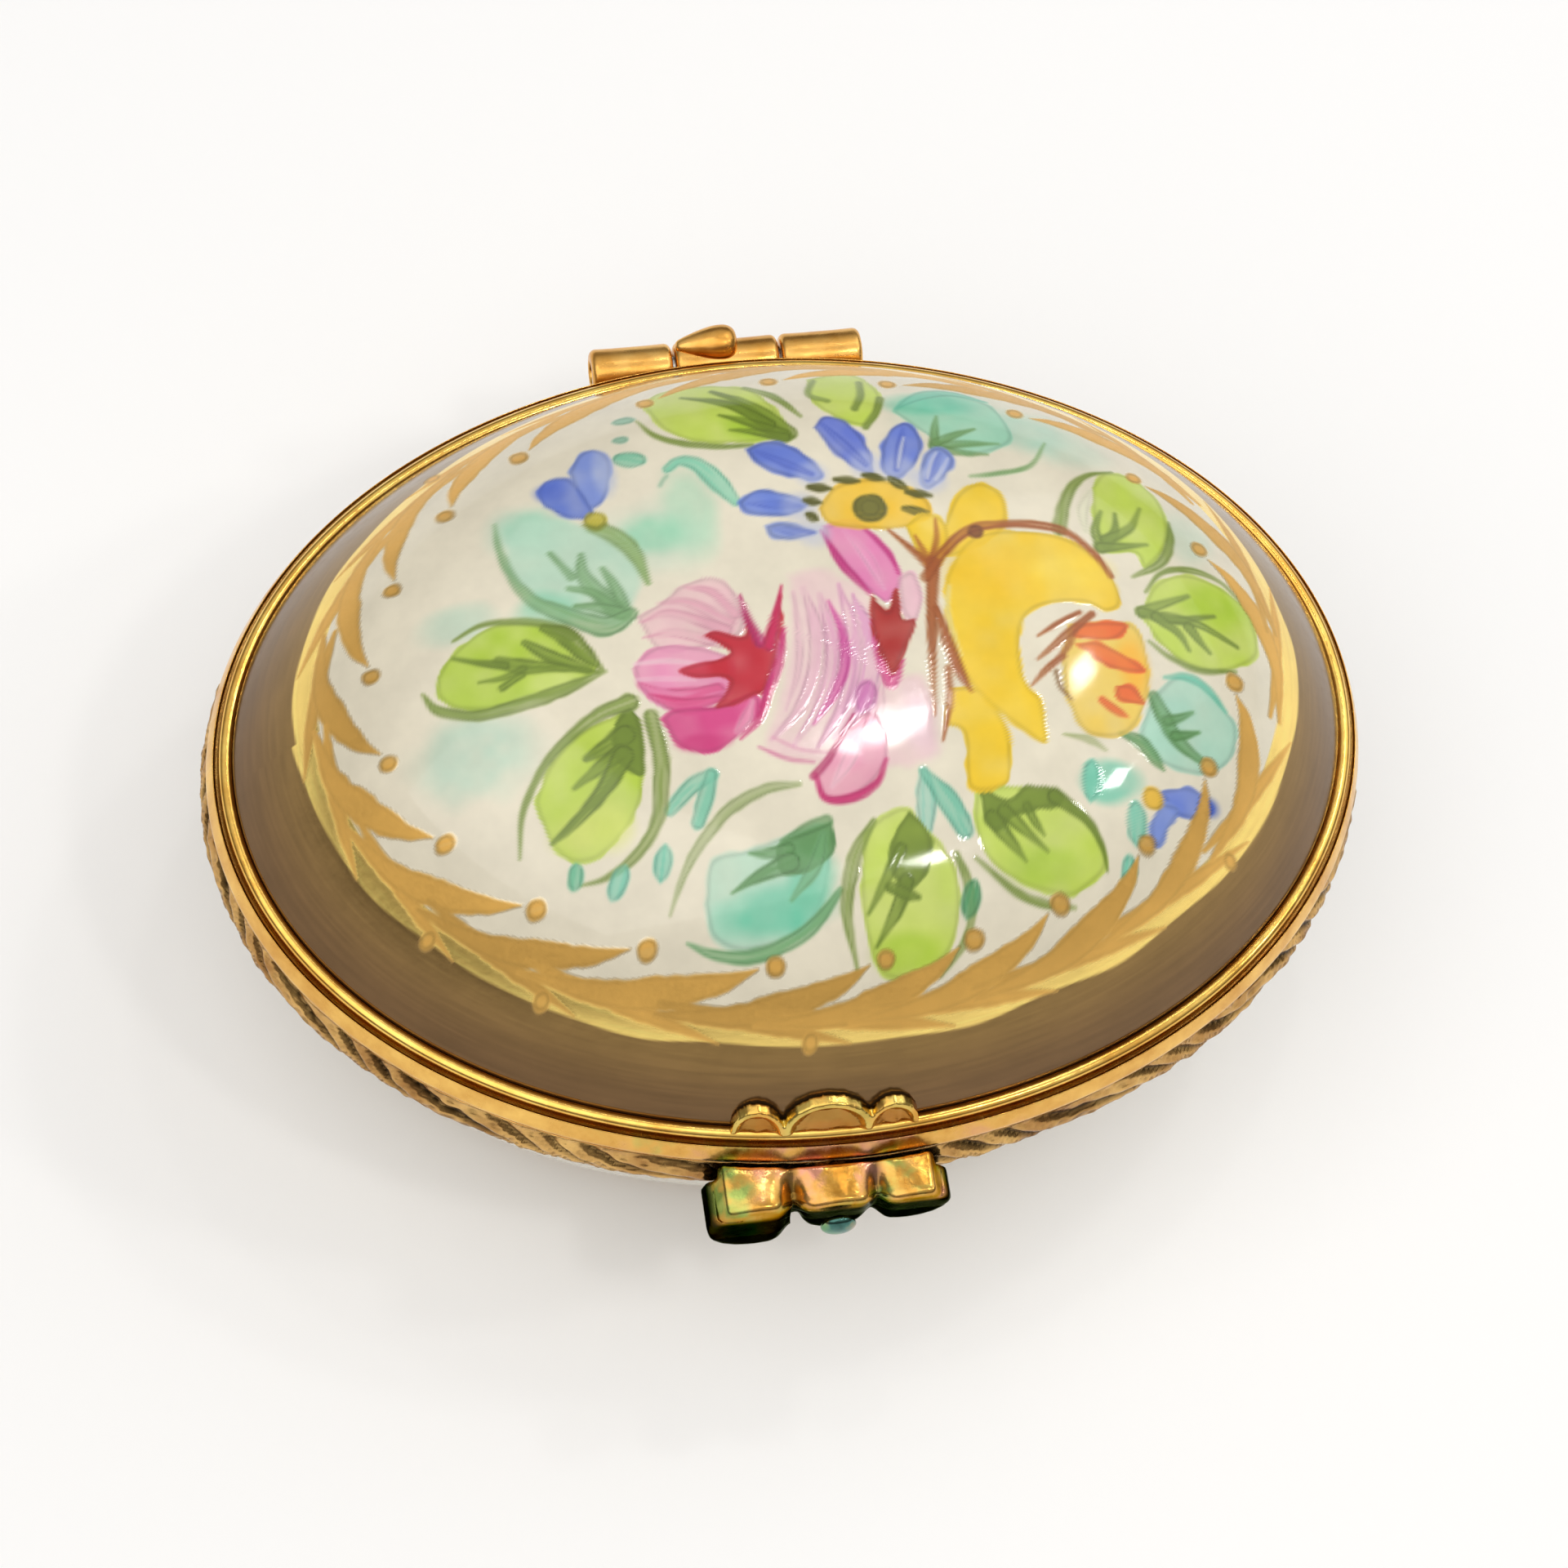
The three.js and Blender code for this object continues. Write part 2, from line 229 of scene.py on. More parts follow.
# ---------------------------------------------------------------- materials
class Graph:
    """Short names for building a material's nodes."""

    def __init__(self, name):
        self.material = bpy.data.materials.new(name)
        self.material.use_nodes = True
        self.nodes = self.material.node_tree.nodes
        self.links = self.material.node_tree.links
        self.shader = self.nodes["Principled BSDF"]
        self.position = self.nodes.new("ShaderNodeTexCoord").outputs["Object"]

    def set(self, **sockets):
        for name, value in sockets.items():
            socket = self.shader.inputs[name.replace("_", " ")]
            if hasattr(value, "node"):
                self.links.new(value, socket)
            elif socket.type == "RGBA":
                socket.default_value = (*value[:3], 1)
            else:
                socket.default_value = value
        return self.material

    def noise(self, scale, detail=3.0, stretch=None, roughness=0.6):
        source = self.position
        if stretch:
            mapping = self.nodes.new("ShaderNodeMapping")
            mapping.inputs["Scale"].default_value = stretch
            self.links.new(source, mapping.inputs["Vector"])
            source = mapping.outputs["Vector"]
        node = self.nodes.new("ShaderNodeTexNoise")
        node.inputs["Scale"].default_value = scale
        node.inputs["Detail"].default_value = detail
        node.inputs["Roughness"].default_value = roughness
        self.links.new(source, node.inputs["Vector"])
        return node.outputs["Fac"]

    def ramp(self, value, *stops):
        """stops are (position, grey or colour)."""
        node = self.nodes.new("ShaderNodeValToRGB")
        while len(node.color_ramp.elements) < len(stops):
            node.color_ramp.elements.new(0.5)
        for element, (place, shade) in zip(node.color_ramp.elements, stops):
            element.position = place
            element.color = (*shade, 1) if hasattr(shade, "__len__") else (shade,) * 3 + (1,)
        self.links.new(value, node.inputs[0])
        return node.outputs["Color"]

    def mix(self, factor, a, b, blend="MIX"):
        node = self.nodes.new("ShaderNodeMix")
        node.data_type = "RGBA"
        node.blend_type = blend
        for value, socket in ((factor, node.inputs[0]), (a, node.inputs[6]), (b, node.inputs[7])):
            if hasattr(value, "node"):
                self.links.new(value, socket)
            elif hasattr(value, "__len__"):
                socket.default_value = (*value[:3], 1)
            elif socket.type == "RGBA":
                socket.default_value = (value, value, value, 1)
            else:
                socket.default_value = value
        return node.outputs[2]

    def near(self, point, inner, outer):
        """1 close to a point given in millimetres, fading to 0 at the outer distance."""
        gap = self.nodes.new("ShaderNodeVectorMath")
        gap.operation = "DISTANCE"
        gap.inputs[1].default_value = [c * MM for c in point]
        self.links.new(self.position, gap.inputs[0])
        fade = self.nodes.new("ShaderNodeMapRange")
        fade.inputs["From Min"].default_value = outer * MM
        fade.inputs["From Max"].default_value = inner * MM
        self.links.new(gap.outputs["Value"], fade.inputs["Value"])
        return fade.outputs["Result"]

    def attribute(self, name):
        node = self.nodes.new("ShaderNodeAttribute")
        node.attribute_name = name
        return node.outputs["Color"]

    def channels(self, color):
        node = self.nodes.new("ShaderNodeSeparateColor")
        self.links.new(color, node.inputs[0])
        return node.outputs

    def bump(self, height, strength, distance, before=None):
        node = self.nodes.new("ShaderNodeBump")
        node.inputs["Strength"].default_value = strength
        node.inputs["Distance"].default_value = distance
        self.links.new(height, node.inputs["Height"])
        if before:
            self.links.new(before, node.inputs["Normal"])
        return node.outputs["Normal"]


GOLD = linear(236, 184, 92)
DEEP_GOLD = linear(196, 138, 58)


def brass(name, light, dark, rough, grain=2600, stretch=None, tarnish=0.0, dents=0.00002):
    """Gilt brass: uneven gilding, fine working marks, and rainbow tarnish round the clasp."""
    g = Graph(name)
    cloud = g.noise(420, 4)
    color = g.mix(g.ramp(cloud, (0.35, 0.0), (0.68, 1.0)), dark, light)
    if tarnish:
        handled = g.near((CLASP_X, -22.5, 15.5), 4, 13)
        patches = g.ramp(g.noise(420, 3), (0.44, 0.0), (0.56, tarnish))
        patches = g.mix(1.0, patches, handled, "MULTIPLY")
        hue = g.ramp(
            g.noise(300, 2),
            (0.38, linear(60, 128, 66)),
            (0.46, linear(150, 178, 96)),
            (0.53, linear(226, 170, 96)),
            (0.62, linear(206, 140, 120)),
        )
        color = g.mix(patches, color, hue)
    marks = g.noise(grain, 3, stretch)
    shine = g.ramp(marks, (0.3, max(rough - 0.08, 0.05)), (0.7, rough + 0.12))
    normal = g.bump(marks, 0.25, dents)
    normal = g.bump(cloud, 0.15, dents * 3, normal)
    return g.set(Base_Color=color, Metallic=1.0, Roughness=shine, Normal=normal)


def with_painted_shade(material, attribute_name, dark):
    """Multiplies a metal's colour by a stored shade, to paint shade into its hollows, creases, grooves and
    lower faces.
    """
    nodes, links = material.node_tree.nodes, material.node_tree.links
    shader = nodes["Principled BSDF"]
    source = shader.inputs["Base Color"].links[0].from_socket
    shade = nodes.new("ShaderNodeAttribute")
    shade.attribute_name = attribute_name
    mix = nodes.new("ShaderNodeMix")
    mix.data_type = "RGBA"
    links.new(shade.outputs["Fac"], mix.inputs[0])
    mix.inputs[6].default_value = (*dark, 1)
    links.new(source, mix.inputs[7])
    links.new(mix.outputs[2], shader.inputs["Base Color"])
    return material


def plain_porcelain():
    """White glazed porcelain, with thin gold lines where the bowl was given them."""
    g = Graph("glazed_porcelain")
    tint = g.mix(g.noise(160, 2), linear(240, 234, 219), linear(234, 226, 206))
    line = g.channels(g.attribute("gilding"))["Red"]
    worn = g.ramp(g.noise(900, 4), (0.3, 0.86), (0.5, 1.0))
    color = g.mix(line, tint, g.mix(worn, DEEP_GOLD, GOLD))
    peel = g.noise(700, 2)
    shine = g.mix(line, g.ramp(peel, (0.3, 0.07), (0.7, 0.13)), g.ramp(worn, (0.3, 0.3), (0.9, 0.2)))
    normal = g.bump(peel, 0.12, 0.00003)
    return g.set(
        Base_Color=color, Roughness=shine, Metallic=line, Normal=normal, Coat_Weight=0.3,
        Coat_Roughness=0.06, Subsurface_Weight=0.04, Subsurface_Scale=0.002,
    )


def painted_porcelain():
    """Glaze, enamel colours and two kinds of gilding, by what each point of the lid was given."""
    g = Graph("painted_porcelain")
    paint = g.attribute("paint")
    layer = g.channels(g.attribute("layers"))
    gold, matt, relief = layer["Red"], layer["Green"], layer["Blue"]
    mottle = g.ramp(g.noise(380, 3), (0.3, 0.93), (0.7, 1.05))
    color = g.mix(1.0, paint, mottle, "MULTIPLY")
    grain = g.noise(5200, 3)
    scratch = g.noise(1500, 5, (0.35, 1.6, 1.0), 0.75)
    glaze = g.ramp(g.noise(900, 2), (0.3, 0.04), (0.7, 0.09))
    enamel = g.ramp(scratch, (0.3, 0.08), (0.7, 0.2))
    surface = g.mix(relief, glaze, enamel)
    burnished = g.ramp(scratch, (0.3, 0.10), (0.72, 0.24))
    matted = g.ramp(grain, (0.3, 0.34), (0.7, 0.48))
    shine = g.mix(gold, surface, g.mix(matt, burnished, matted))
    metal = g.mix(1.0, gold, g.mix(matt, 0.82, 0.6), "MULTIPLY")
    normal = g.bump(relief, 0.4, 0.00004)
    normal = g.bump(g.mix(matt, g.mix(gold, 0.5, scratch), grain), 0.12, 0.00002, normal)
    normal = g.bump(g.noise(260, 2), 0.10, 0.0001, normal)
    return g.set(Base_Color=color, Roughness=shine, Metallic=metal, Normal=normal)


# ---------------------------------------------------------------- the paint box
IVORY = (226, 218, 196)
LIME, GRASS = (190, 212, 88), (158, 196, 50)
OLIVE, VEIN, BOTTLE = (128, 148, 72), (110, 132, 48), (96, 146, 88)
TEAL, PALE_TEAL = (112, 194, 166), (164, 210, 188)
DEEP_BLUE, DEEP_PINK, MAGENTA = (72, 98, 192), (214, 66, 122), (178, 40, 100)
YELLOW, ORANGE, RUST = (238, 198, 44), (232, 106, 44), (160, 84, 38)
LEAF_GOLD, MIRROR_GOLD = (236, 184, 94), (255, 220, 124)
# Painted reflection: dark olive-brown colours given to the steep gilded side of the lid, standing in for
# the dark surroundings it reflects.
OLIVE_PAINTED_REFLECTION, DARK_PAINTED_REFLECTION = (140, 112, 68), (112, 86, 58)


def spline(points, widths, per_span=9):
    """A smooth run through given points, with the widths spread along it."""
    p = np.array(points, float)
    w = np.atleast_1d(np.array(widths, float))
    w = np.interp(np.linspace(0, 1, len(p)), np.linspace(0, 1, len(w)), w)
    full = np.column_stack([p, w])
    full = np.vstack([2 * full[0] - full[1], full, 2 * full[-1] - full[-2]])
    run = []
    for a, b, c, d in zip(full, full[1:], full[2:], full[3:]):
        for t in np.linspace(0, 1, per_span, endpoint=False):
            run.append(0.5 * (2 * b + (c - a) * t + (2 * a - 5 * b + 4 * c - d) * t**2
                              + (3 * b - a - 3 * c + d) * t**3))
    run.append(full[-2])
    run = np.array(run)
    return run[:, :2], np.maximum(run[:, 2], 0.02)


class Canvas:
    """The top of the lid seen from above: a colour and a paint thickness at every point.

    Places and widths are in millimetres, with x along the lid and y towards the hinge.
    """

    def __init__(self, x, y):
        self.x, self.y = x, y
        self.color = np.tile(np.array(IVORY, float), (len(x), 1))
        self.body = np.zeros(len(x))
        self.strokes = 0

    def around(self, points, margin):
        """Which of the lid's points lie near these ones."""
        p = np.array(points, float)
        low, high = p.min(0) - margin, p.max(0) + margin
        hit = (self.x > low[0]) & (self.x < high[0]) & (self.y > low[1]) & (self.y < high[1])
        return np.nonzero(hit)[0]

    def lay(self, where, cover, color, body):
        cover = np.clip(cover, 0, 1)
        self.color[where] += (np.asarray(color, float) - self.color[where]) * cover[:, None]
        self.body[where] = np.maximum(self.body[where], cover * body)

    def brush(self, path, width, color, flow=0.9, streak=0.25, edge=0.2, pool=0.18):
        """One stroke of a loaded brush: hair marks along it and colour gathered at its edge."""
        self.strokes += 1
        seed = self.strokes
        line, full = spline(path, width)
        half = full / 2
        where = self.around(line, half.max() + edge)
        if not len(where):
            return
        x, y = self.x[where], self.y[where]
        best = np.full(len(where), 1e9)
        along = np.zeros(len(where))
        aside = np.zeros(len(where))
        reach = np.zeros(len(where))
        travelled = 0.0
        for (a, b, ha, hb) in zip(line, line[1:], half, half[1:]):
            step = b - a
            length = max(math.hypot(*step), 1e-6)
            t = np.clip(((x - a[0]) * step[0] + (y - a[1]) * step[1]) / length**2, 0, 1)
            dx, dy = x - a[0] - step[0] * t, y - a[1] - step[1] * t
            h = ha + (hb - ha) * t
            gap = np.hypot(dx, dy) - h
            closer = gap < best
            best = np.where(closer, gap, best)
            along = np.where(closer, travelled + length * t, along)
            aside = np.where(closer, (dx * -step[1] + dy * step[0]) / length, aside)
            reach = np.where(closer, h, reach)
            travelled += length
        ragged = (lattice_noise(x * 2.2, y * 2.2, seed) - 0.5) * 0.12
        cover = smooth(edge / 2, -edge / 2, best + ragged * np.minimum(1, reach * 2))
        hairs = lattice_noise(along * 0.55 + seed, aside * 7.5 + 20, seed + 7)
        thin = 1 - streak * smooth(0.35, 0.75, hairs)
        rim = np.exp(-((best + 0.09) / 0.07) ** 2) * pool * np.minimum(1, reach * 2.5)
        shade = np.asarray(color, float)[None, :] * (1 - rim[:, None])
        self.lay(where, cover * flow * thin, shade, 0.35 + 0.65 * min(1, float(half.max())))

    def petal(self, centre, half_long, half_wide, degrees, color, **how):
        """A full brush press, round in the middle and pointed at its ends."""
        a = math.radians(degrees)
        x, y = centre
        c, s = math.cos(a) * half_long, math.sin(a) * half_long
        path = [(x - c, y - s), (x - c * 0.4, y - s * 0.4), (x + c * 0.4, y + s * 0.4), (x + c, y + s)]
        w = 2 * half_wide
        self.brush(path, [w * 0.25, w * 0.95, w, w * 0.3], color, **how)

    def dot(self, centre, radius, color, flow=0.9):
        x, y = centre
        self.brush([(x - 0.04, y), (x + 0.04, y)], 2 * radius, color, flow=flow, streak=0.1)

    def wash(self, centre, radius_x, radius_y, color, flow=0.4, soft=0.5):
        """Thin colour with a soft, uneven border."""
        self.strokes += 1
        x, y = centre
        far = max(radius_x, radius_y) * (1 + soft)
        where = self.around([centre], far)
        dx, dy = (self.x[where] - x) / radius_x, (self.y[where] - y) / radius_y
        uneven = lattice_noise(self.x[where] * 0.8 + 9, self.y[where] * 0.8 + 9, self.strokes) - 0.5
        cover = smooth(1 + soft, 1 - soft, np.hypot(dx, dy) + uneven * 0.35)
        patch = lattice_noise(self.x[where] * 1.6, self.y[where] * 1.6, self.strokes + 3)
        self.lay(where, cover * flow * (0.8 + 0.4 * patch), color, 0.15)

    def blob(self, outline, color, flow=0.85, edge=0.14, pool=0.12):
        """A filled shape inside a given outline."""
        self.strokes += 1
        line, _ = spline(list(outline) + [outline[0]], 1.0, 7)
        where = self.around(line, edge)
        x, y = self.x[where], self.y[where]
        inside = np.zeros(len(where), bool)
        gap = np.full(len(where), 1e9)
        for a, b in zip(line, line[1:]):
            step = b - a
            squared = max(float(step @ step), 1e-9)
            t = np.clip(((x - a[0]) * step[0] + (y - a[1]) * step[1]) / squared, 0, 1)
            gap = np.minimum(gap, np.hypot(x - a[0] - step[0] * t, y - a[1] - step[1] * t))
            if a[1] != b[1]:
                spans = (a[1] > y) != (b[1] > y)
                inside ^= spans & (x < a[0] + (y - a[1]) * step[0] / step[1])
        signed = np.where(inside, -gap, gap)
        ragged = (lattice_noise(x * 1.7, y * 1.7, self.strokes) - 0.5) * 0.2
        cover = smooth(edge / 2, -edge / 2, signed + ragged)
        patch = lattice_noise(x * 1.1 + 5, y * 1.1 + 5, self.strokes + 11)
        rim = np.exp(-((signed + 0.12) / 0.1) ** 2) * pool
        shade = np.asarray(color, float)[None, :] * (1 - rim[:, None])
        self.lay(where, cover * flow * (0.82 + 0.3 * patch), shade, 0.45)


# ---------------------------------------------------------------- the painted bouquet
def paint_leaves(c):
    """The eight lime-green leaves, each with its wash, veins and outline."""
    # Lime leaf at the top, left of the middle.
    c.blob([(-5.9, 14.3), (-5.1, 15.4), (-3.1, 15.6), (-0.9, 14.8), (0.1, 13.2), (0.6, 11.4),
            (-0.1, 10.9), (-2.1, 10.8), (-4, 11.2), (-5.3, 12.3)], LIME, 0.9)
    c.wash((-1, 12), 1.2, 1.0, GRASS, 0.6)
    c.brush([(-2.5, 14.8), (-1, 13.3), (0.5, 11.2)], [0.3, 0.7, 1.0], VEIN)
    c.brush([(-4, 14.6), (-1.9, 13.5), (-0.3, 11.8)], [0.2, 0.6, 0.8], VEIN)
    c.brush([(-2.5, 12.8), (-1.1, 12), (0.3, 11.1)], [0.2, 0.6, 0.8], VEIN)
    c.brush([(-2.2, 11.7), (-1, 11.4), (0.3, 10.9)], [0.15, 0.5, 0.7], VEIN)
    c.brush([(-0.9, 14.8), (0.3, 13.8), (1.3, 12.2)], [0.3, 0.5, 0.2], OLIVE)
    c.brush([(-6.4, 13.2), (-5.8, 12), (-4.6, 11.2), (-2.8, 10.7), (-1.3, 10.6)], [0.15, 0.4, 0.4, 0.2],
            OLIVE)
    # Lime leaf at the left.
    c.blob([(-17.6, 0.4), (-16.9, 1.3), (-15.4, 2.3), (-14.1, 2.5), (-12.3, 2), (-11.2, 1),
            (-10.2, -0.4), (-11.5, -1.2), (-14.1, -1.8), (-16.6, -1.5), (-17.6, -0.6)],
           (172, 200, 66), 0.9)
    c.wash((-12.4, -0.9), 1.2, 0.5, (208, 222, 130), 0.6)
    c.brush([(-16.6, 2.1), (-15.3, 2.6), (-13.8, 2.5), (-12.3, 2.1), (-11.2, 1.3)], [0.15, 0.4, 0.6],
            OLIVE)
    c.brush([(-12.4, 1.9), (-11.4, 1.3), (-10.8, 0.4), (-10, -0.6)], [0.5, 1.0, 0.9, 0.15], VEIN)
    c.brush([(-13.4, 1.3), (-12.3, 0.4), (-10.7, -0.5)], [0.35, 0.7, 0.5], VEIN)
    c.brush([(-14.7, 0.6), (-13.7, 0.1), (-12, -0.2), (-10.2, -0.7)], [0.5, 0.8, 0.5, 0.2], VEIN)
    c.brush([(-16.7, 1.2), (-15.6, 0.7), (-14.4, 0.3)], [0.2, 0.35, 0.5], VEIN)
    c.brush([(-15.7, -0.3), (-14.6, -0.3), (-13.6, 0)], [0.15, 0.3, 0.4], VEIN)
    c.brush([(-14.7, -0.8), (-14.3, -0.6), (-13.7, -0.3)], 0.35, VEIN)
    c.brush([(-18.3, -0.2), (-17.7, -1.2), (-16.1, -1.9), (-14.1, -1.8), (-12, -1.4), (-9.9, -0.7)],
            [0.12, 0.5, 0.6, 0.7, 0.7, 0.2], OLIVE)
    # Lime leaf, lower left.
    c.blob([(-13.8, -7.1), (-13.8, -6.3), (-12.9, -4.8), (-11.5, -3.6), (-9.9, -3), (-8.8, -2.9),
            (-8.7, -5.1), (-9, -7.1), (-9.9, -8.5), (-11.3, -9.5), (-12.6, -9.4), (-13.4, -8.4)],
           (178, 204, 68), 0.9)
    c.wash((-11.4, -8.2), 1.6, 1.1, (206, 214, 110), 0.7)
    c.blob([(-9.9, -3.4), (-9, -2.6), (-8.6, -3.5), (-8.7, -5.9), (-9.3, -5.9), (-10, -4.9)], VEIN, 0.95)
    c.brush([(-9.4, -4), (-10.4, -4.5), (-11.3, -4.9)], [1.1, 0.8, 0.4], VEIN)
    c.brush([(-9.7, -4.8), (-10.9, -5.5), (-12, -6.2)], [0.9, 0.6, 0.25], VEIN)
    c.brush([(-9.6, -5), (-10.8, -6.6), (-12.2, -7.8), (-13.3, -8.5)], [1.1, 0.75, 0.5, 0.2], VEIN)
    c.brush([(-9, -2.4), (-10.6, -2.9), (-12.4, -4.1), (-13.6, -5.4), (-14.5, -7), (-14.8, -8.8)],
            [0.9, 0.7, 0.5, 0.4, 0.3, 0.12], OLIVE)
    c.brush([(-8.1, -3.2), (-7.9, -5.2), (-8.1, -6.9), (-8.5, -8.4), (-9.6, -9.7), (-11, -10.4),
             (-12.2, -10.5)], [0.7, 0.8, 0.8, 0.6, 0.5, 0.3, 0.1], OLIVE)
    c.petal((-12.4, -10.1), 0.5, 0.35, 80, (96, 180, 140))
    c.petal((-10.5, -10.7), 0.7, 0.42, 60, TEAL)
    c.petal((-8.4, -10.2), 0.75, 0.4, 75, TEAL)
    # Second lime leaf at the top.
    c.blob([(2.2, 15.3), (2, 13.4), (3, 11.9), (4.3, 11.3), (5.3, 12.4), (5.4, 14.2), (4.4, 15.7)],
           LIME, 0.9)
    c.brush([(4.7, 14.7), (4.5, 13.5), (4, 12.5)], 0.4, OLIVE)
    c.brush([(5.4, 13.2), (5, 12.2), (4.3, 11.2)], 0.4, OLIVE)
    c.brush([(2.5, 15), (2, 13.8), (2.8, 13.2)], 0.35, OLIVE)
    # Lime leaves at the right.
    c.blob([(14.7, 7.3), (15.7, 8.4), (17.2, 8.3), (18.2, 7), (18.3, 5.3), (17.7, 3.7), (16.5, 2.6),
            (16.2, 3.4), (14.7, 3.5), (14.4, 5)], LIME, 0.9)
    c.brush([(14.6, 7), (14, 5.8), (13.9, 4.6)], [0.3, 0.6, 0.3], (222, 222, 190), flow=0.7)
    c.brush([(12.6, 4.7), (13.1, 6.1), (13.8, 7.3), (14.8, 8.1), (16.1, 8.5)], [0.7, 0.6, 0.35, 0.15],
            OLIVE)
    c.brush([(18.4, 5.6), (18.2, 4.4), (17.4, 3), (15.8, 2.1)], [0.15, 0.5, 0.5, 0.15], OLIVE)
    for path in ([(14.9, 5.8), (14.4, 4.7), (14.5, 3.7)], [(15.6, 5.7), (15.4, 4.7), (14.8, 3.9)],
                 [(17, 6.2), (16.2, 4.9), (14.8, 4.1)], [(16.9, 4), (15.6, 3.8), (14.5, 3.7)]):
        c.brush(path, [0.2, 0.45, 0.7], OLIVE)
    c.blob([(15.8, 0.1), (16.8, 1.7), (18.4, 2.5), (20.4, 2.2), (21.7, 1.2), (22, -0.4), (21.5, -1.5),
            (19.6, -2.5), (17.8, -2.4), (16.5, -1.4)], LIME, 0.9)
    c.wash((19.8, 0.8), 1.6, 1.2, GRASS, 0.45)
    c.brush([(16.3, 1.3), (17.3, 2.4), (18.8, 2.8), (20.5, 2.5), (21.5, 1.5)], [0.15, 0.4, 0.15], OLIVE)
    c.brush([(16, -1.3), (17, -2.1), (18.5, -2.6), (20.4, -2.3)], [0.15, 0.45, 0.15], OLIVE)
    for path in ([(18.5, 1.3), (17.1, 0.7), (15.9, 0.2)], [(19.7, 0.4), (17.6, -0.1), (15.9, 0.2)],
                 [(20.7, -1), (18.7, -0.2), (17, 0)], [(19.1, -1.6), (18.6, -1), (18.2, -0.4)],
                 [(18, -1.6), (17.6, -0.8), (16.6, 0)]):
        c.brush(path, [0.25, 0.45, 0.65], OLIVE)
    # Lime leaf, bottom right.
    c.blob([(6.5, -8.3), (8.3, -8.2), (10.3, -8.7), (11.7, -9.8), (12.5, -11.6), (11.3, -12.7),
            (10.3, -13), (8.1, -12.5), (6.6, -11.4), (6.2, -9.8)], LIME, 0.9)
    c.wash((9.4, -11.9), 1.6, 0.8, GRASS, 0.5)
    c.blob([(6.6, -8.1), (7.9, -8.8), (9, -8.2), (10.4, -8.5), (10.4, -9.2), (8.7, -9.5), (8, -9.7),
            (7.2, -10.3), (6.7, -9.6)], VEIN, 0.95)
    c.brush([(7.1, -9.7), (7.8, -10.7), (8.5, -11.6)], [0.9, 0.6, 0.15], VEIN)
    c.brush([(7.7, -9.4), (8.6, -10.3), (9.6, -11.2)], [0.8, 0.5, 0.15], VEIN)
    c.brush([(8.8, -9.2), (9.1, -9.9), (9.5, -10.5)], [0.5, 0.4, 0.15], VEIN)
    c.brush([(10.2, -8.8), (11.6, -9.8), (12.3, -10.9), (12.5, -11.9)], [0.8, 0.5, 0.3, 0.12], VEIN)
    c.brush([(6.1, -11.4), (7.8, -12.8), (9.3, -13.3), (10.8, -13.4)], [0.2, 0.4, 0.4, 0.15], OLIVE)
    # Lime leaf, bottom middle.
    c.blob([(1.9, -9.2), (3.1, -8.9), (4, -10), (5.1, -11.7), (5.1, -13.8), (4.4, -15.2), (2.9, -15.9),
            (1.3, -15.7), (0.6, -14), (0.6, -11.6), (1.1, -9.9)], LIME, 0.88)
    c.wash((2.6, -13.2), 1.4, 1.8, (206, 218, 118), 0.5)
    c.wash((2.6, -15), 1.6, 0.7, GRASS, 0.5)
    c.blob([(3.2, -9), (2.4, -10), (2, -11.2), (2.4, -12.4), (3.4, -12.3), (4, -11.2), (4, -10)],
           VEIN, 0.9)
    c.brush([(2.6, -10.8), (1.8, -12), (0.8, -13.4)], [0.7, 0.5, 0.15], VEIN)
    c.brush([(2.7, -12.2), (2.1, -13.4), (1.1, -14.7)], [0.8, 0.6, 0.15], VEIN)
    c.brush([(1.9, -12.4), (2.6, -12.7), (3.2, -12.9)], [0.5, 0.6, 0.3], VEIN)
    c.brush([(1.5, -9.4), (0.6, -10.6), (0.1, -11.8), (-0.2, -13.4), (0.2, -15.7)],
            [0.3, 0.6, 0.7, 0.5, 0.12], OLIVE)
    c.brush([(5.2, -11.2), (5.6, -12.4), (5.7, -13.6), (5.3, -14.7), (4.1, -15.9)],
            [0.3, 0.5, 0.4, 0.4, 0.12], OLIVE)
    c.petal((5.7, -13.1), 0.75, 0.42, 70, (74, 146, 96))


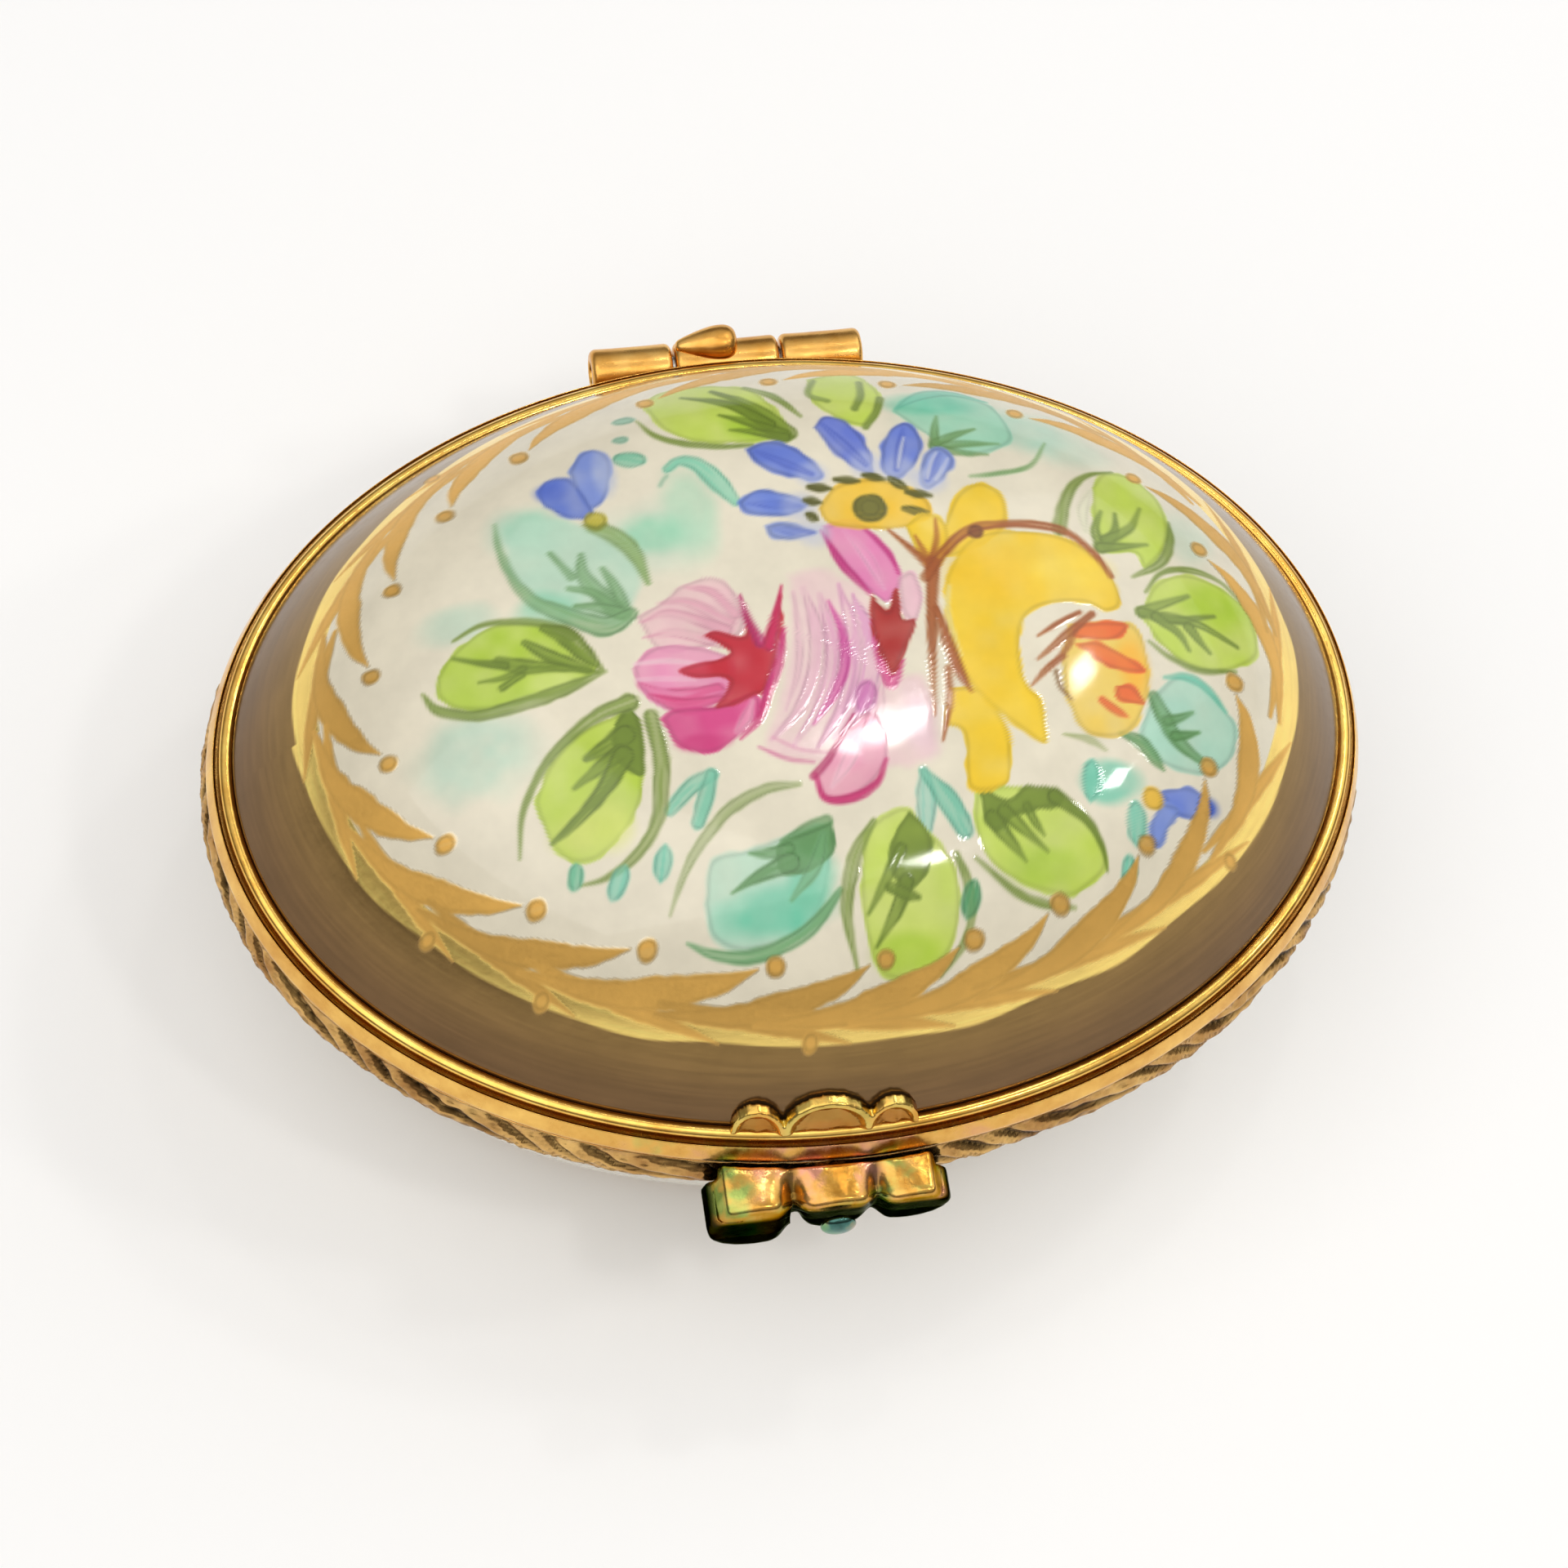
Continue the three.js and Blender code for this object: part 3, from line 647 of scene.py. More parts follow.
def paint_teal(c):
    """Soft teal washes behind the bouquet, then the four teal leaves and the loose strokes."""
    for centre, rx, ry, flow in (
        ((-12.5, 7.3), 1.8, 1.4, 0.4), ((-6.6, 6), 2.2, 1.8, 0.3), ((-16.3, 2.8), 1.6, 1.0, 0.4),
        ((-16.3, -3.8), 2.5, 1.8, 0.5), ((14, 9.7), 2.0, 1.2, 0.35), ((19.2, 4.7), 1.2, 1.5, 0.3),
        ((9.4, 11.8), 3.0, 1.8, 0.3),
    ):
        c.wash(centre, rx, ry, PALE_TEAL, flow)
    # Leaf left of the middle.
    c.wash((-4.9, 7), 1.2, 2.4, (150, 210, 176), 0.45)
    c.wash((-6.8, 6.1), 1.5, 1.0, (138, 206, 170), 0.6)
    c.wash((-12.5, 7.5), 1.2, 1.0, (140, 206, 176), 0.5)
    c.blob([(-13.5, 7), (-12.6, 7.9), (-10.8, 7.7), (-8.5, 6), (-7.5, 4.6), (-8, 2.9), (-8.8, 1.6),
            (-11, 2.3), (-12.9, 3.9), (-13.7, 5.3)], (176, 212, 188), 0.8, 0.5, 0)
    c.wash((-12, 2.8), 1.4, 0.9, (128, 200, 166), 0.6)
    for path, wide in (
        ([(-11.6, 5.8), (-11.2, 5.1), (-10.8, 4.4)], 0.35), ([(-10.2, 5.5), (-10.2, 4.2), (-9, 2.5)], 0.75),
        ([(-9.3, 4.6), (-8.8, 3.4), (-8.6, 2.2)], 0.6), ([(-11, 3.8), (-9.9, 3.4), (-8.9, 2.4)], 0.5),
        ([(-10.8, 2.8), (-9.8, 2.6), (-8.8, 2.2)], 0.6),
    ):
        c.brush(path, [0.3, wide, wide * 1.3], (122, 164, 112))
    c.brush([(-13.9, 8.1), (-13.9, 6.6), (-13.5, 4.8), (-12.7, 3.4), (-11.3, 2.4), (-9.6, 1.6),
             (-8.3, 2.1)], [0.12, 0.35, 0.5, 0.7, 0.9, 1.1, 0.7], (124, 166, 114))
    # Squiggle and drops above it.
    c.brush([(-5.5, 9.7), (-4.9, 10.1), (-4.1, 9.8), (-3.3, 8.7), (-2.6, 7.5)], [0.5, 0.6, 0.8, 1.0, 0.6],
            (126, 200, 168))
    c.brush([(-6, 8.8), (-5.8, 9.1), (-5.6, 9.3)], 0.22, (150, 190, 160))
    c.petal((-7, 13.4), 0.5, 0.28, 0, (140, 184, 158))
    c.petal((-7.4, 12), 0.34, 0.24, 0, (140, 184, 158))
    c.petal((-7.2, 10.6), 0.65, 0.5, -15, (118, 188, 156))
    # Leaf at the top right.
    c.wash((12.2, 11), 2.2, 1.4, PALE_TEAL, 0.55)
    c.blob([(5.8, 12.2), (6.8, 13.3), (8.8, 13.8), (10.8, 13), (11.4, 11.2), (11.2, 10), (9.5, 9.2),
            (8.2, 9.5), (7.2, 10.4)], (150, 208, 178), 0.85)
    c.wash((8, 12.8), 2, 0.8, (96, 194, 160), 0.7)
    c.brush([(6, 12.4), (7.4, 13.4), (9, 13.8), (10.8, 13.2)], [0.2, 0.7, 0.6, 0.15], TEAL)
    for path in ([(7.4, 9.8), (7.6, 10.8), (7.9, 11.8)], [(7.4, 9.8), (9, 9.9), (10.6, 9.9)],
                 [(7.6, 9.6), (8.8, 9.3), (9.9, 9.2)], [(7.5, 10), (8.6, 10.5), (9.6, 10.9)]):
        c.brush(path, [0.6, 0.45, 0.15], (110, 150, 90), flow=0.75)
    c.brush([(8.8, 7.9), (10.1, 8), (11.9, 8.5), (13, 10.1)], [0.15, 0.3, 0.28, 0.12], (130, 168, 110))
    # Leaf at the lower right.
    c.blob([(15.7, -4.1), (17.1, -3), (18.5, -3.2), (19.5, -4.3), (20, -5.1), (19.5, -6.6),
            (17.9, -7.5), (15.7, -7.2), (14.8, -6)], PALE_TEAL, 0.85)
    c.brush([(16.5, -3.1), (17.7, -3), (18.7, -3.5), (19.5, -4.4)], [0.2, 0.6, 0.2], TEAL)
    c.brush([(15.8, -4.1), (16.2, -5.2), (16.9, -6.3), (18.5, -7.2)], [0.6, 0.9, 0.7, 0.2], BOTTLE)
    c.brush([(16.3, -5.2), (17, -5), (17.7, -4.7)], [0.6, 0.4, 0.15], BOTTLE)
    c.brush([(16.6, -5.9), (17.2, -5.8), (17.9, -5.6)], [0.6, 0.4, 0.15], BOTTLE)
    c.brush([(13.9, -5.9), (14.8, -6.3), (15.4, -7), (15.8, -7.5)], [0.3, 0.7, 0.6, 0.15], BOTTLE)
    c.brush([(11.1, -5.9), (12.3, -6.2), (13, -6.7)], [0.15, 0.4, 0.15], OLIVE, flow=0.6)
    c.wash((13, -8.1), 1.5, 1.0, TEAL, 0.7, 0.3)
    # Leaf at the bottom, left of the middle.
    c.blob([(-6.7, -12.2), (-6.4, -13.6), (-4.9, -14.3), (-2.7, -14), (-1.6, -13.2), (-0.8, -11.5),
            (-0.7, -9.4), (-2.8, -9.7), (-4.5, -10.1), (-6.2, -10.4)], (176, 214, 190), 0.85, 0.3)
    c.wash((-3.4, -12.9), 2.4, 1.1, (110, 198, 164), 0.85, 0.4)
    c.wash((-1.6, -11.6), 1.0, 1.6, (118, 198, 164), 0.75, 0.4)
    c.blob([(-0.4, -9.2), (-1.6, -9.5), (-3, -10.1), (-3.2, -10.9), (-2.9, -11.4), (-1.9, -11.4),
            (-0.5, -10.7)], BOTTLE, 0.92)
    c.brush([(-2.6, -10.9), (-4, -11.3), (-5.4, -11.9)], [1.0, 0.6, 0.12], BOTTLE)
    c.brush([(-2.6, -10.3), (-3.6, -10.4), (-4.4, -10.3)], [0.7, 0.5, 0.15], BOTTLE)
    c.brush([(-0.7, -9.2), (-1.7, -9.5), (-2.9, -9.9)], [0.6, 0.6, 0.15], BOTTLE)
    c.brush([(-0.9, -9.8), (-1.5, -11.2), (-2.7, -12.5)], [0.4, 0.7, 0.2], (112, 166, 112), flow=0.8)
    c.brush([(-7.6, -13.6), (-6.4, -14.2), (-4.7, -14.5), (-3, -14.2), (-1.6, -13.5), (-0.4, -12.3)],
            [0.12, 0.4, 0.6, 0.6, 0.6, 0.3], (112, 166, 112))
    # Small strokes under the rose and beside the blossom.
    c.brush([(4.2, -7.2), (4.1, -8.5), (3.9, -9.9)], [0.4, 1.0, 0.7], (146, 198, 178))
    c.brush([(4.1, -7.2), (5.1, -8.7), (5.7, -10.1)], [0.4, 1.1, 0.9], (112, 188, 160))
    c.brush([(-5.7, -6.4), (-6.7, -6.9), (-7.8, -7.9)], [0.7, 0.8, 0.6], (130, 198, 168))
    c.brush([(-5.7, -6.4), (-6.1, -7.5), (-6.6, -8.6)], [0.6, 0.8, 0.7], (122, 194, 164))
    c.brush([(-1.7, -7.3), (-3.3, -7.4), (-5.1, -8.2), (-6.6, -9.6), (-7.6, -11), (-8.3, -12.4)],
            [0.25, 0.55, 0.6, 0.5, 0.35, 0.12], (158, 172, 116))


def paint_blue(c):
    """Two blue buds and the daisy at the top."""
    # Bud at the left, on its stem.
    c.brush([(-9.5, 6.9), (-8.5, 6.3), (-7.7, 5.2), (-7.3, 3.6)], [0.6, 0.9, 0.8, 0.3], (140, 170, 104))
    c.blob([(-10.1, 10.4), (-9.5, 11.4), (-8.7, 11.7), (-8.1, 10.8), (-8.3, 9.3), (-8.8, 8.2),
            (-9.5, 8), (-9.9, 8.9)], (126, 146, 212), 0.95, 0.2)
    c.wash((-8.5, 10), 0.5, 1.2, (178, 188, 216), 0.6)
    c.blob([(-11.7, 9.6), (-11.2, 10.2), (-10.2, 10.1), (-9.6, 9), (-9.3, 7.8), (-9.8, 7.4),
            (-10.8, 7.8), (-11.6, 8.7)], (104, 126, 206), 0.95, 0.2)
    c.wash((-11.1, 9.4), 0.7, 0.6, (80, 104, 198), 0.6)
    c.dot((-9.3, 7.3), 0.5, (182, 170, 52))
    c.brush([(-9.8, 7.1), (-9.3, 6.8), (-8.8, 7)], [0.2, 0.35, 0.2], (128, 136, 50))
    # Bud at the lower right.
    c.blob([(15.4, -8.4), (17.1, -8.1), (18.4, -8.7), (17.9, -9.3), (16.3, -9.4)], (112, 134, 212), 0.95)
    c.blob([(15.5, -8.9), (16.5, -9.1), (15.9, -10), (15.3, -10.8), (14.8, -10.6), (14.9, -9.7)],
           (124, 146, 214), 0.95)
    c.wash((18, -8.8), 0.6, 0.4, DEEP_BLUE, 0.7)
    c.dot((15.1, -8.8), 0.5, (228, 180, 60))
    c.petal((14.15, -9.9), 0.85, 0.5, 85, (120, 196, 170))
    c.petal((13.6, -11.9), 0.6, 0.4, 80, TEAL)
    c.petal((12.1, -8.1), 0.9, 0.45, 80, TEAL)
    # Daisy: petals pressed from the tip inwards, so that they pale towards the eye.
    petals = (
        ([(-1.7, 10.4), (-0.5, 10.8), (0.8, 10.1), (1.8, 8.6), (1.1, 8.2), (-0.4, 8.8), (-1.3, 9.5)],
         (98, 120, 204), (-1.2, 10.2), (1.2, 8.6)),
        ([(-2.5, 7.4), (-1.7, 8), (-0.7, 7.9), (0.4, 7.4), (0.8, 6.9), (-0.1, 6.4), (-1.3, 6.5),
          (-2.2, 6.8)], (104, 128, 208), (-2, 7.3), (0.4, 6.9)),
        ([(-1.4, 6), (-0.5, 6.1), (0.9, 5.6), (1, 5.3), (-0.3, 5.1), (-1.2, 5.4)],
         (140, 156, 210), (-1, 5.8), (0.8, 5.4)),
        ([(1.7, 11.4), (2.4, 12.1), (3.3, 11.8), (4, 10.6), (4.3, 9.2), (4.1, 8.4), (3.4, 8.6),
          (2.5, 9.7)], (104, 122, 208), (2.2, 11.6), (3.9, 8.9)),
        ([(4.8, 9.9), (5.4, 11), (6.3, 11.4), (6.8, 10.6), (6.7, 9.4), (5.9, 8.3), (5.2, 8), (4.6, 8.5)],
         (112, 132, 212), (6.1, 11), (5.3, 8.5)),
        ([(6.3, 8.2), (6.9, 9.4), (7.7, 9.7), (8.2, 8.9), (7.7, 8), (6.8, 7.3), (6.4, 7.5)],
         (132, 150, 214), (7.6, 9.3), (6.7, 7.8)),
    )
    for outline, shade, tip, root in petals:
        c.blob(outline, shade, 0.95, 0.2, 0.16)
        middle = ((tip[0] + root[0]) / 2, (tip[1] + root[1]) / 2)
        c.wash(root, 0.8, 0.7, (186, 192, 216), 0.55)
        c.brush([tip, middle, root], [0.2, 0.5, 0.3], (72, 92, 190), flow=0.45, streak=0.5)
    for path in ([(6.7, 7.9), (7, 8.7), (7.4, 9.4)], [(7.1, 7.8), (7.6, 8.5), (7.9, 9)],
                 [(5.4, 8.6), (5.7, 9.6), (6, 10.4)]):
        c.brush(path, [0.12, 0.2, 0.12], (222, 224, 230), flow=0.7)
    c.blob([(1.2, 6.7), (2.2, 7.8), (3.8, 8.1), (5.3, 7.7), (6.5, 6.7), (6.4, 5.7), (4.9, 5.2),
            (3, 5.4), (1.6, 5.8)], (236, 190, 58), 0.95)
    for start, end in (((1, 7.9), (2, 7.7)), ((2.3, 8.2), (3.4, 8)), ((3.7, 8.3), (4.6, 8)),
                       ((4.9, 8), (5.6, 7.4)), ((5.6, 7.2), (6.7, 6.9)), ((5.3, 6.3), (6.4, 6)),
                       ((0.7, 7.2), (1.4, 7)), ((0.7, 6.4), (1.1, 6.1))):
        middle = ((start[0] + end[0]) / 2, (start[1] + end[1]) / 2)
        c.brush([start, middle, end], [0.3, 0.5, 0.2], (88, 88, 34), flow=0.95)
    c.dot((3.7, 6.5), 0.78, (96, 98, 44))
    c.dot((3.7, 6.5), 0.48, (118, 116, 56), 0.6)


def paint_pink(c):
    """The pink blossom and the rose."""
    # Blossom at the left: two pale petals, a pink one, a deep one and a crimson throat.
    c.blob([(-8.1, 1.9), (-6.8, 2.6), (-5.8, 3.3), (-4.3, 3.6), (-3.3, 2.7), (-3.2, 0.7), (-5, 0),
            (-7.2, 0)], (228, 184, 190), 0.85)
    for path in ([(-7.9, 1.6), (-6.4, 1.9), (-4, 0.8)], [(-7, 2.5), (-5.6, 2.4), (-3.8, 1.2)],
                 [(-5.6, 3.2), (-4.4, 2.8), (-3.5, 1.6)], [(-7.9, 0.8), (-6.4, 0.9), (-4.4, 0.2)]):
        c.brush(path, [0.15, 0.5, 0.7], (220, 150, 172), flow=0.6, streak=0.6)
    c.blob([(-8.6, -0.7), (-7.8, 0.1), (-6.5, 0.3), (-4, -0.6), (-4.2, -2.4), (-5.5, -3.1), (-7.3, -3),
            (-8.4, -1.8)], (226, 142, 178), 0.9)
    for path in ([(-8.4, -1.6), (-6.8, -2.4), (-4.8, -2.2)], [(-8, -2.2), (-6.4, -2.9), (-4.8, -2.8)]):
        c.brush(path, [0.3, 0.9, 0.7], DEEP_PINK, flow=0.6, streak=0.6)
    c.brush([(-8.5, -0.5), (-7, -0.5), (-5.6, -0.8)], [0.15, 0.3, 0.15], (240, 205, 212), flow=0.7)
    c.brush([(-8.5, -1.3), (-7.2, -1.4), (-5.8, -1.6)], [0.15, 0.25, 0.15], (240, 200, 212), flow=0.6)
    c.blob([(-7.6, -3.4), (-6.9, -3), (-4.8, -3), (-3.2, -2.6), (-3, -3.6), (-3.9, -4.5), (-5, -5.2),
            (-6.1, -5.3), (-7.1, -4.7)], (214, 74, 134), 0.95)
    c.wash((-5.9, -4.8), 1.2, 0.4, (196, 50, 112), 0.5)
    c.brush([(-4.2, -4.4), (-3.7, -3.8), (-3.3, -3)], [0.3, 0.6, 0.3], (232, 160, 184), flow=0.8)
    c.blob([(-5.1, 0.6), (-4.5, 0.8), (-3.2, 0.4), (-3, 1.6), (-2.6, 0.5), (-2.4, 0), (-1.7, 1.4),
            (-1.2, 2.3), (-1.4, 0.5), (-1.8, -0.7), (-2.6, -2.5), (-3.2, -2.7), (-4.2, -3.1),
            (-5.1, -3.1), (-4.2, -1.8), (-5.8, -1.5), (-6.5, -1.1), (-5.8, -0.8), (-4, -0.4)],
           (190, 36, 52), 0.96, 0.16)
    c.brush([(-3.1, 2.5), (-2.9, 1.2), (-2.5, 0)], [0.12, 0.4, 0.6], MAGENTA)
    c.brush([(-1.1, 2.8), (-1.6, 1.2), (-2.1, -0.2)], [0.12, 0.45, 0.7], (196, 40, 88))
    c.brush([(-1.3, 0.6), (-1.7, -0.9), (-2.5, -2.6), (-3.1, -3.9), (-4.1, -4.8)],
            [0.15, 0.5, 0.45, 0.35, 0.12], (200, 40, 108))
    # Rose in the middle: pale sweeps that curl down and to the left.
    c.blob([(-0.7, 3.3), (1.1, 3.4), (2.8, 2), (3, -0.2), (3.2, -2.3), (4.9, -2.6), (5, -5.2),
            (4.7, -6.6), (2.4, -6.9), (-0.9, -6.3), (-3, -5.4), (-1.9, -2.8), (-1, 0.4)],
           (230, 196, 198), 0.75, 0.6, 0.0)
    for path, wide, shade in (
        ([(-0.1, 2.6), (0.2, 0.4), (-0.2, -1.8), (-1.2, -3.6), (-2.7, -5)], 0.8, (222, 172, 190)),
        ([(-0.6, 2.4), (-0.6, 0.2), (-1, -1.8), (-1.8, -3.6)], 0.45, (224, 182, 192)),
        ([(0.6, 2.2), (0.9, 0.2), (0.6, -1.8), (-0.4, -3.8), (-1.7, -5.4)], 0.75, (216, 152, 184)),
        ([(2.2, 2), (2.5, -0.2), (2.2, -2.2), (1.4, -3.8), (0.2, -5.2)], 1.3, (214, 146, 188)),
        ([(1.6, 2.6), (1.9, 0.2), (1.6, -2), (0.7, -3.9), (-0.6, -5.6)], 0.8, (222, 160, 192)),
        ([(2.9, -2.6), (2.3, -4.2), (1.4, -5.6)], 0.9, (226, 176, 192)),
    ):
        c.brush(path, [0.2, wide, wide, wide * 0.8, 0.15], shade, flow=0.75, streak=0.6)
    c.brush([(1, 1.8), (1.4, 0.2), (1.3, -1.5), (0.5, -3.1), (-0.6, -4.4)], [0.12, 0.5, 0.5, 0.12],
            (204, 70, 150), flow=0.85)
    c.brush([(-3.3, -5.3), (-2.1, -6), (-0.9, -6.3)], [0.15, 0.22, 0.12], (206, 110, 150), flow=0.7)
    c.brush([(-2.6, -4.9), (-1.4, -5.6), (-0.2, -5.9)], [0.12, 0.2, 0.12], (212, 130, 165), flow=0.6)
    c.petal((2, -3.3), 0.75, 0.5, 70, (200, 104, 170), flow=0.75)
    c.wash((4.3, -4.6), 0.9, 1.8, (228, 192, 204), 0.6)
    c.blob([(1.3, 5.7), (2.9, 5.9), (4.1, 4.3), (4.7, 2.8), (3.8, 1.4), (2.9, 2.2), (2, 3.6), (1.4, 4.8)],
           (226, 128, 178), 0.92)
    c.brush([(2.3, 5.4), (3.2, 3.8), (3.7, 2.2)], [0.2, 0.6, 0.3], (238, 178, 206), flow=0.6, streak=0.6)
    c.brush([(1.2, 5.5), (1.8, 3.9), (2.4, 2.9), (3, 2)], [0.15, 0.4, 0.4, 0.2], (196, 50, 124))
    c.brush([(2.9, 5.9), (3.8, 4.7), (4.3, 3.8), (4.5, 2.9)], [0.12, 0.4, 0.12], (200, 56, 130))
    c.blob([(4.4, 2.7), (5.2, 2.9), (5.5, 1.6), (5, 0.4), (4.4, 0.8)], (230, 180, 196), 0.8)
    c.brush([(2.9, 0.6), (3, -1.2), (3.3, -2.7), (4, -1.6)], [0.2, 0.5, 0.6, 0.2], (204, 44, 120))
    c.blob([(3.1, 1.9), (3.7, 1), (4.3, 2.1), (4.4, 0.6), (5, 0.4), (4, -1.5), (3.4, -2.3), (3, -1.1),
            (2.8, 0.3)], (168, 40, 36), 0.97, 0.15)
    c.blob([(-1, -7.1), (-0.1, -6.1), (1.1, -4.5), (2.3, -4.1), (2.7, -5.8), (2.2, -7.1), (0.7, -8.2),
            (-0.6, -8.1)], (228, 150, 176), 0.85)
    c.brush([(-0.2, -7.6), (0.8, -6.3), (1.7, -4.8)], [0.2, 0.7, 0.3], (240, 196, 208), flow=0.6)
    c.brush([(-0.9, -6.9), (-0.6, -8.1), (0.7, -8.2), (1.9, -7.6), (2.5, -6.5)], [0.2, 0.5, 0.2],
            (200, 50, 110))
    c.brush([(-1, -7), (0, -6), (1.3, -4.1)], [0.4, 0.3, 0.12], (180, 50, 100))


def paint_yellow(c):
    """The yellow petals, the small flower beside them and the rust-coloured stem."""
    c.blob([(7, 5.2), (8, 6.9), (9.2, 7.5), (10.2, 6.7), (10, 5), (8.6, 4), (6.8, 3.6)], YELLOW, 0.92)
    c.blob([(5.1, 5.4), (6.3, 6), (7.2, 5.3), (7, 3.6), (6, 3)], YELLOW, 0.9)
    c.blob([(6, -3.2), (7.4, -3.4), (8.4, -5.2), (8.4, -6.8), (8, -8.2), (6.2, -8.2), (6.3, -5.6),
            (5.5, -4.9)], YELLOW, 0.92)
    c.blob([(6.7, 2.5), (7.7, 4), (9, 4.7), (11.1, 4.7), (12.9, 4.2), (14.1, 3.2), (14.9, 1.8),
            (14.9, 0.6), (14.1, 0.2), (13.1, 0.7), (11.5, 0.7), (10.4, 0.3), (9.8, -0.7), (9.6, -2.3),
            (9.8, -3.4), (10.3, -4.3), (10.2, -6.3), (9.2, -5.7), (7.5, -3.9), (6.6, -2), (6.4, 0.8)],
           YELLOW, 0.95)
    c.wash((8.6, 2.4), 1.8, 1.6, (240, 192, 40), 0.5)
    c.wash((8, -2.4), 1, 2.2, (236, 196, 56), 0.4)
    c.wash((12.8, 2.4), 1.6, 0.9, (242, 214, 84), 0.5)
    c.brush([(6.8, 2), (6.5, 0.6), (6.8, -1.6)], [0.2, 0.35, 0.15], (240, 228, 170), flow=0.6)
    # Flower turned to the side, right of it.
    c.blob([(12.2, -0.4), (15, -0.3), (15.8, -1.6), (15.5, -4.1), (14.2, -5.9), (12.2, -5.9),
            (11.5, -4.2), (11.6, -2)], (236, 200, 84), 0.92)
    c.wash((15, -2.4), 0.7, 1.4, (244, 176, 50), 0.7)
    c.blob([(12.5, -0.4), (14, -0.3), (15.1, -0.5), (14.2, -1.3), (12.4, -1.1)], ORANGE, 0.95)
    c.blob([(12.3, -1.4), (13.6, -1.4), (15.6, -2.8), (13.8, -2.7)], ORANGE, 0.95)
    c.blob([(13.9, -3.5), (14.8, -3.6), (15.3, -4.5), (14, -4.3)], ORANGE, 0.95)
    c.brush([(13.2, -4.3), (13.8, -4.8), (14.3, -5.1)], [0.4, 0.5, 0.15], ORANGE)
    for path, wide in (
        ([(10.6, -0.9), (11.7, -0.3), (12.8, 0.2)], 0.3), ([(10.4, -2.1), (11.9, -1), (13.4, 0.1)], 0.45),
        ([(9.9, -3.4), (10.8, -2.6), (11.7, -2)], 0.32), ([(11, -2.4), (11.9, -1.6), (12.4, -0.8)], 0.3),
    ):
        c.brush(path, [0.12, wide, wide * 0.8], RUST)
    c.brush([(11.2, -2.8), (11.3, -3.6), (11.7, -4.2)], [0.3, 0.25, 0.12], (120, 80, 40))
    # Rust-coloured stem between the rose and the yellow petals.
    c.brush([(6.2, 3.3), (5.8, 0.9), (5.5, -1.1), (5.1, -4.5)], [0.7, 0.55, 0.4, 0.12], RUST)
    c.brush([(6, 0.9), (6.3, -0.9), (6.6, -2.4), (7, -3.5)], [0.4, 0.6, 0.5, 0.12], RUST)
    c.brush([(6.1, -2.2), (5.9, -3.9), (5.3, -5.8)], [0.35, 0.35, 0.12], RUST)
    c.brush([(6.1, 3), (5.4, 4), (4.4, 5.2)], [0.5, 0.4, 0.15], RUST)
    c.brush([(6.1, 3.2), (5.9, 3.9), (5.6, 4.8)], [0.4, 0.3, 0.12], RUST)
    c.brush([(6.2, 3.4), (6.6, 4.6), (6.7, 5.6)], [0.4, 0.3, 0.12], RUST)
    c.brush([(5.8, 2.6), (6.8, 3.8), (8.2, 4.9), (9.6, 5.1), (11.5, 5), (13, 4.5), (14.1, 3.3),
             (14.7, 2.1)], [0.6, 0.5, 0.45, 0.45, 0.3], RUST)
    c.dot((8.5, 4.8), 0.36, (124, 70, 34))


def on_oval(rho, degrees):
    """A place on the lid: a share of the way out to its edge, and an angle."""
    t = math.radians(degrees)
    return HALF_X * rho * math.cos(t), HALF_Y * rho * math.sin(t)


def gild(c, rho, turn):
    """The gold border: a burnished ring, a painted dark reflection outside it where the gilded side turns
    steeply down, and a matt laurel wreath.
    """
    ring_edge, dark_edge, crisp = 0.855, 0.895, 0.002
    wobble = (lattice_noise(turn * 6 + 30, rho * 3, 5) - 0.5) * 0.014
    gold = smooth(ring_edge - crisp, ring_edge + crisp, rho + wobble)
    everywhere = np.arange(len(rho))
    brushed = lattice_noise(turn * 9 + 40, rho * 300, 8)[:, None]
    c.lay(everywhere, gold, np.array(MIRROR_GOLD) * (0.96 + 0.08 * brushed), 0.2)
    # Painted reflection: outside dark_edge the gilding is coloured dark, darker still towards the edge
    # where the side turns down.
    dark = smooth(dark_edge - crisp, dark_edge + crisp, rho + wobble)
    outward = smooth(0.89, 1.0, rho)[:, None]
    painted_reflection = np.array(OLIVE_PAINTED_REFLECTION) * (1 - outward) + np.array(DARK_PAINTED_REFLECTION) * outward
    c.lay(everywhere, dark, painted_reflection * (0.95 + 0.1 * brushed), 0.2)
    before = c.color.copy()
    random = np.random.RandomState(3)
    tips = [14, 31, 52, 70.6, 86.8, 104, 124, 139, 155, 172, 189, 206.5, 224, 240.5, 257.6, 272, 284,
            297, 313, 330, 347]
    for tip in tips:
        span = 25 + 5 * random.rand()
        inner = [on_oval(0.862, tip - span), on_oval(0.85, tip - span * 0.66),
                 on_oval(0.828, tip - span * 0.4), on_oval(0.797, tip - span * 0.15), on_oval(0.768, tip)]
        outer = [on_oval(0.842, tip - span), on_oval(0.85, tip - span * 0.7),
                 on_oval(0.866, tip - span * 0.4), on_oval(0.893, tip - span * 0.1)]
        shade = np.array(LEAF_GOLD) * (0.94 + 0.1 * random.rand())
        for path, full in ((outer, 0.72), (inner, 1.02 + 0.22 * random.rand())):
            widths = [0.2, full * 0.7, full, full * 0.6, 0.05]
            c.brush(path, widths, shade, 1.0, 0.0, 0.15, 0.06)
        c.dot(on_oval(0.762, tip + 2.2), 0.36 + 0.08 * random.rand(), LEAF_GOLD, 1.0)
        if random.rand() < 0.35:
            c.dot(on_oval(0.888, tip - 7), 0.34, LEAF_GOLD, 1.0)
    leaf = np.clip(np.abs(c.color - before).sum(1) / 30, 0, 1)
    leaf[rho < 0.74] = 0
    return np.maximum(gold, leaf), leaf


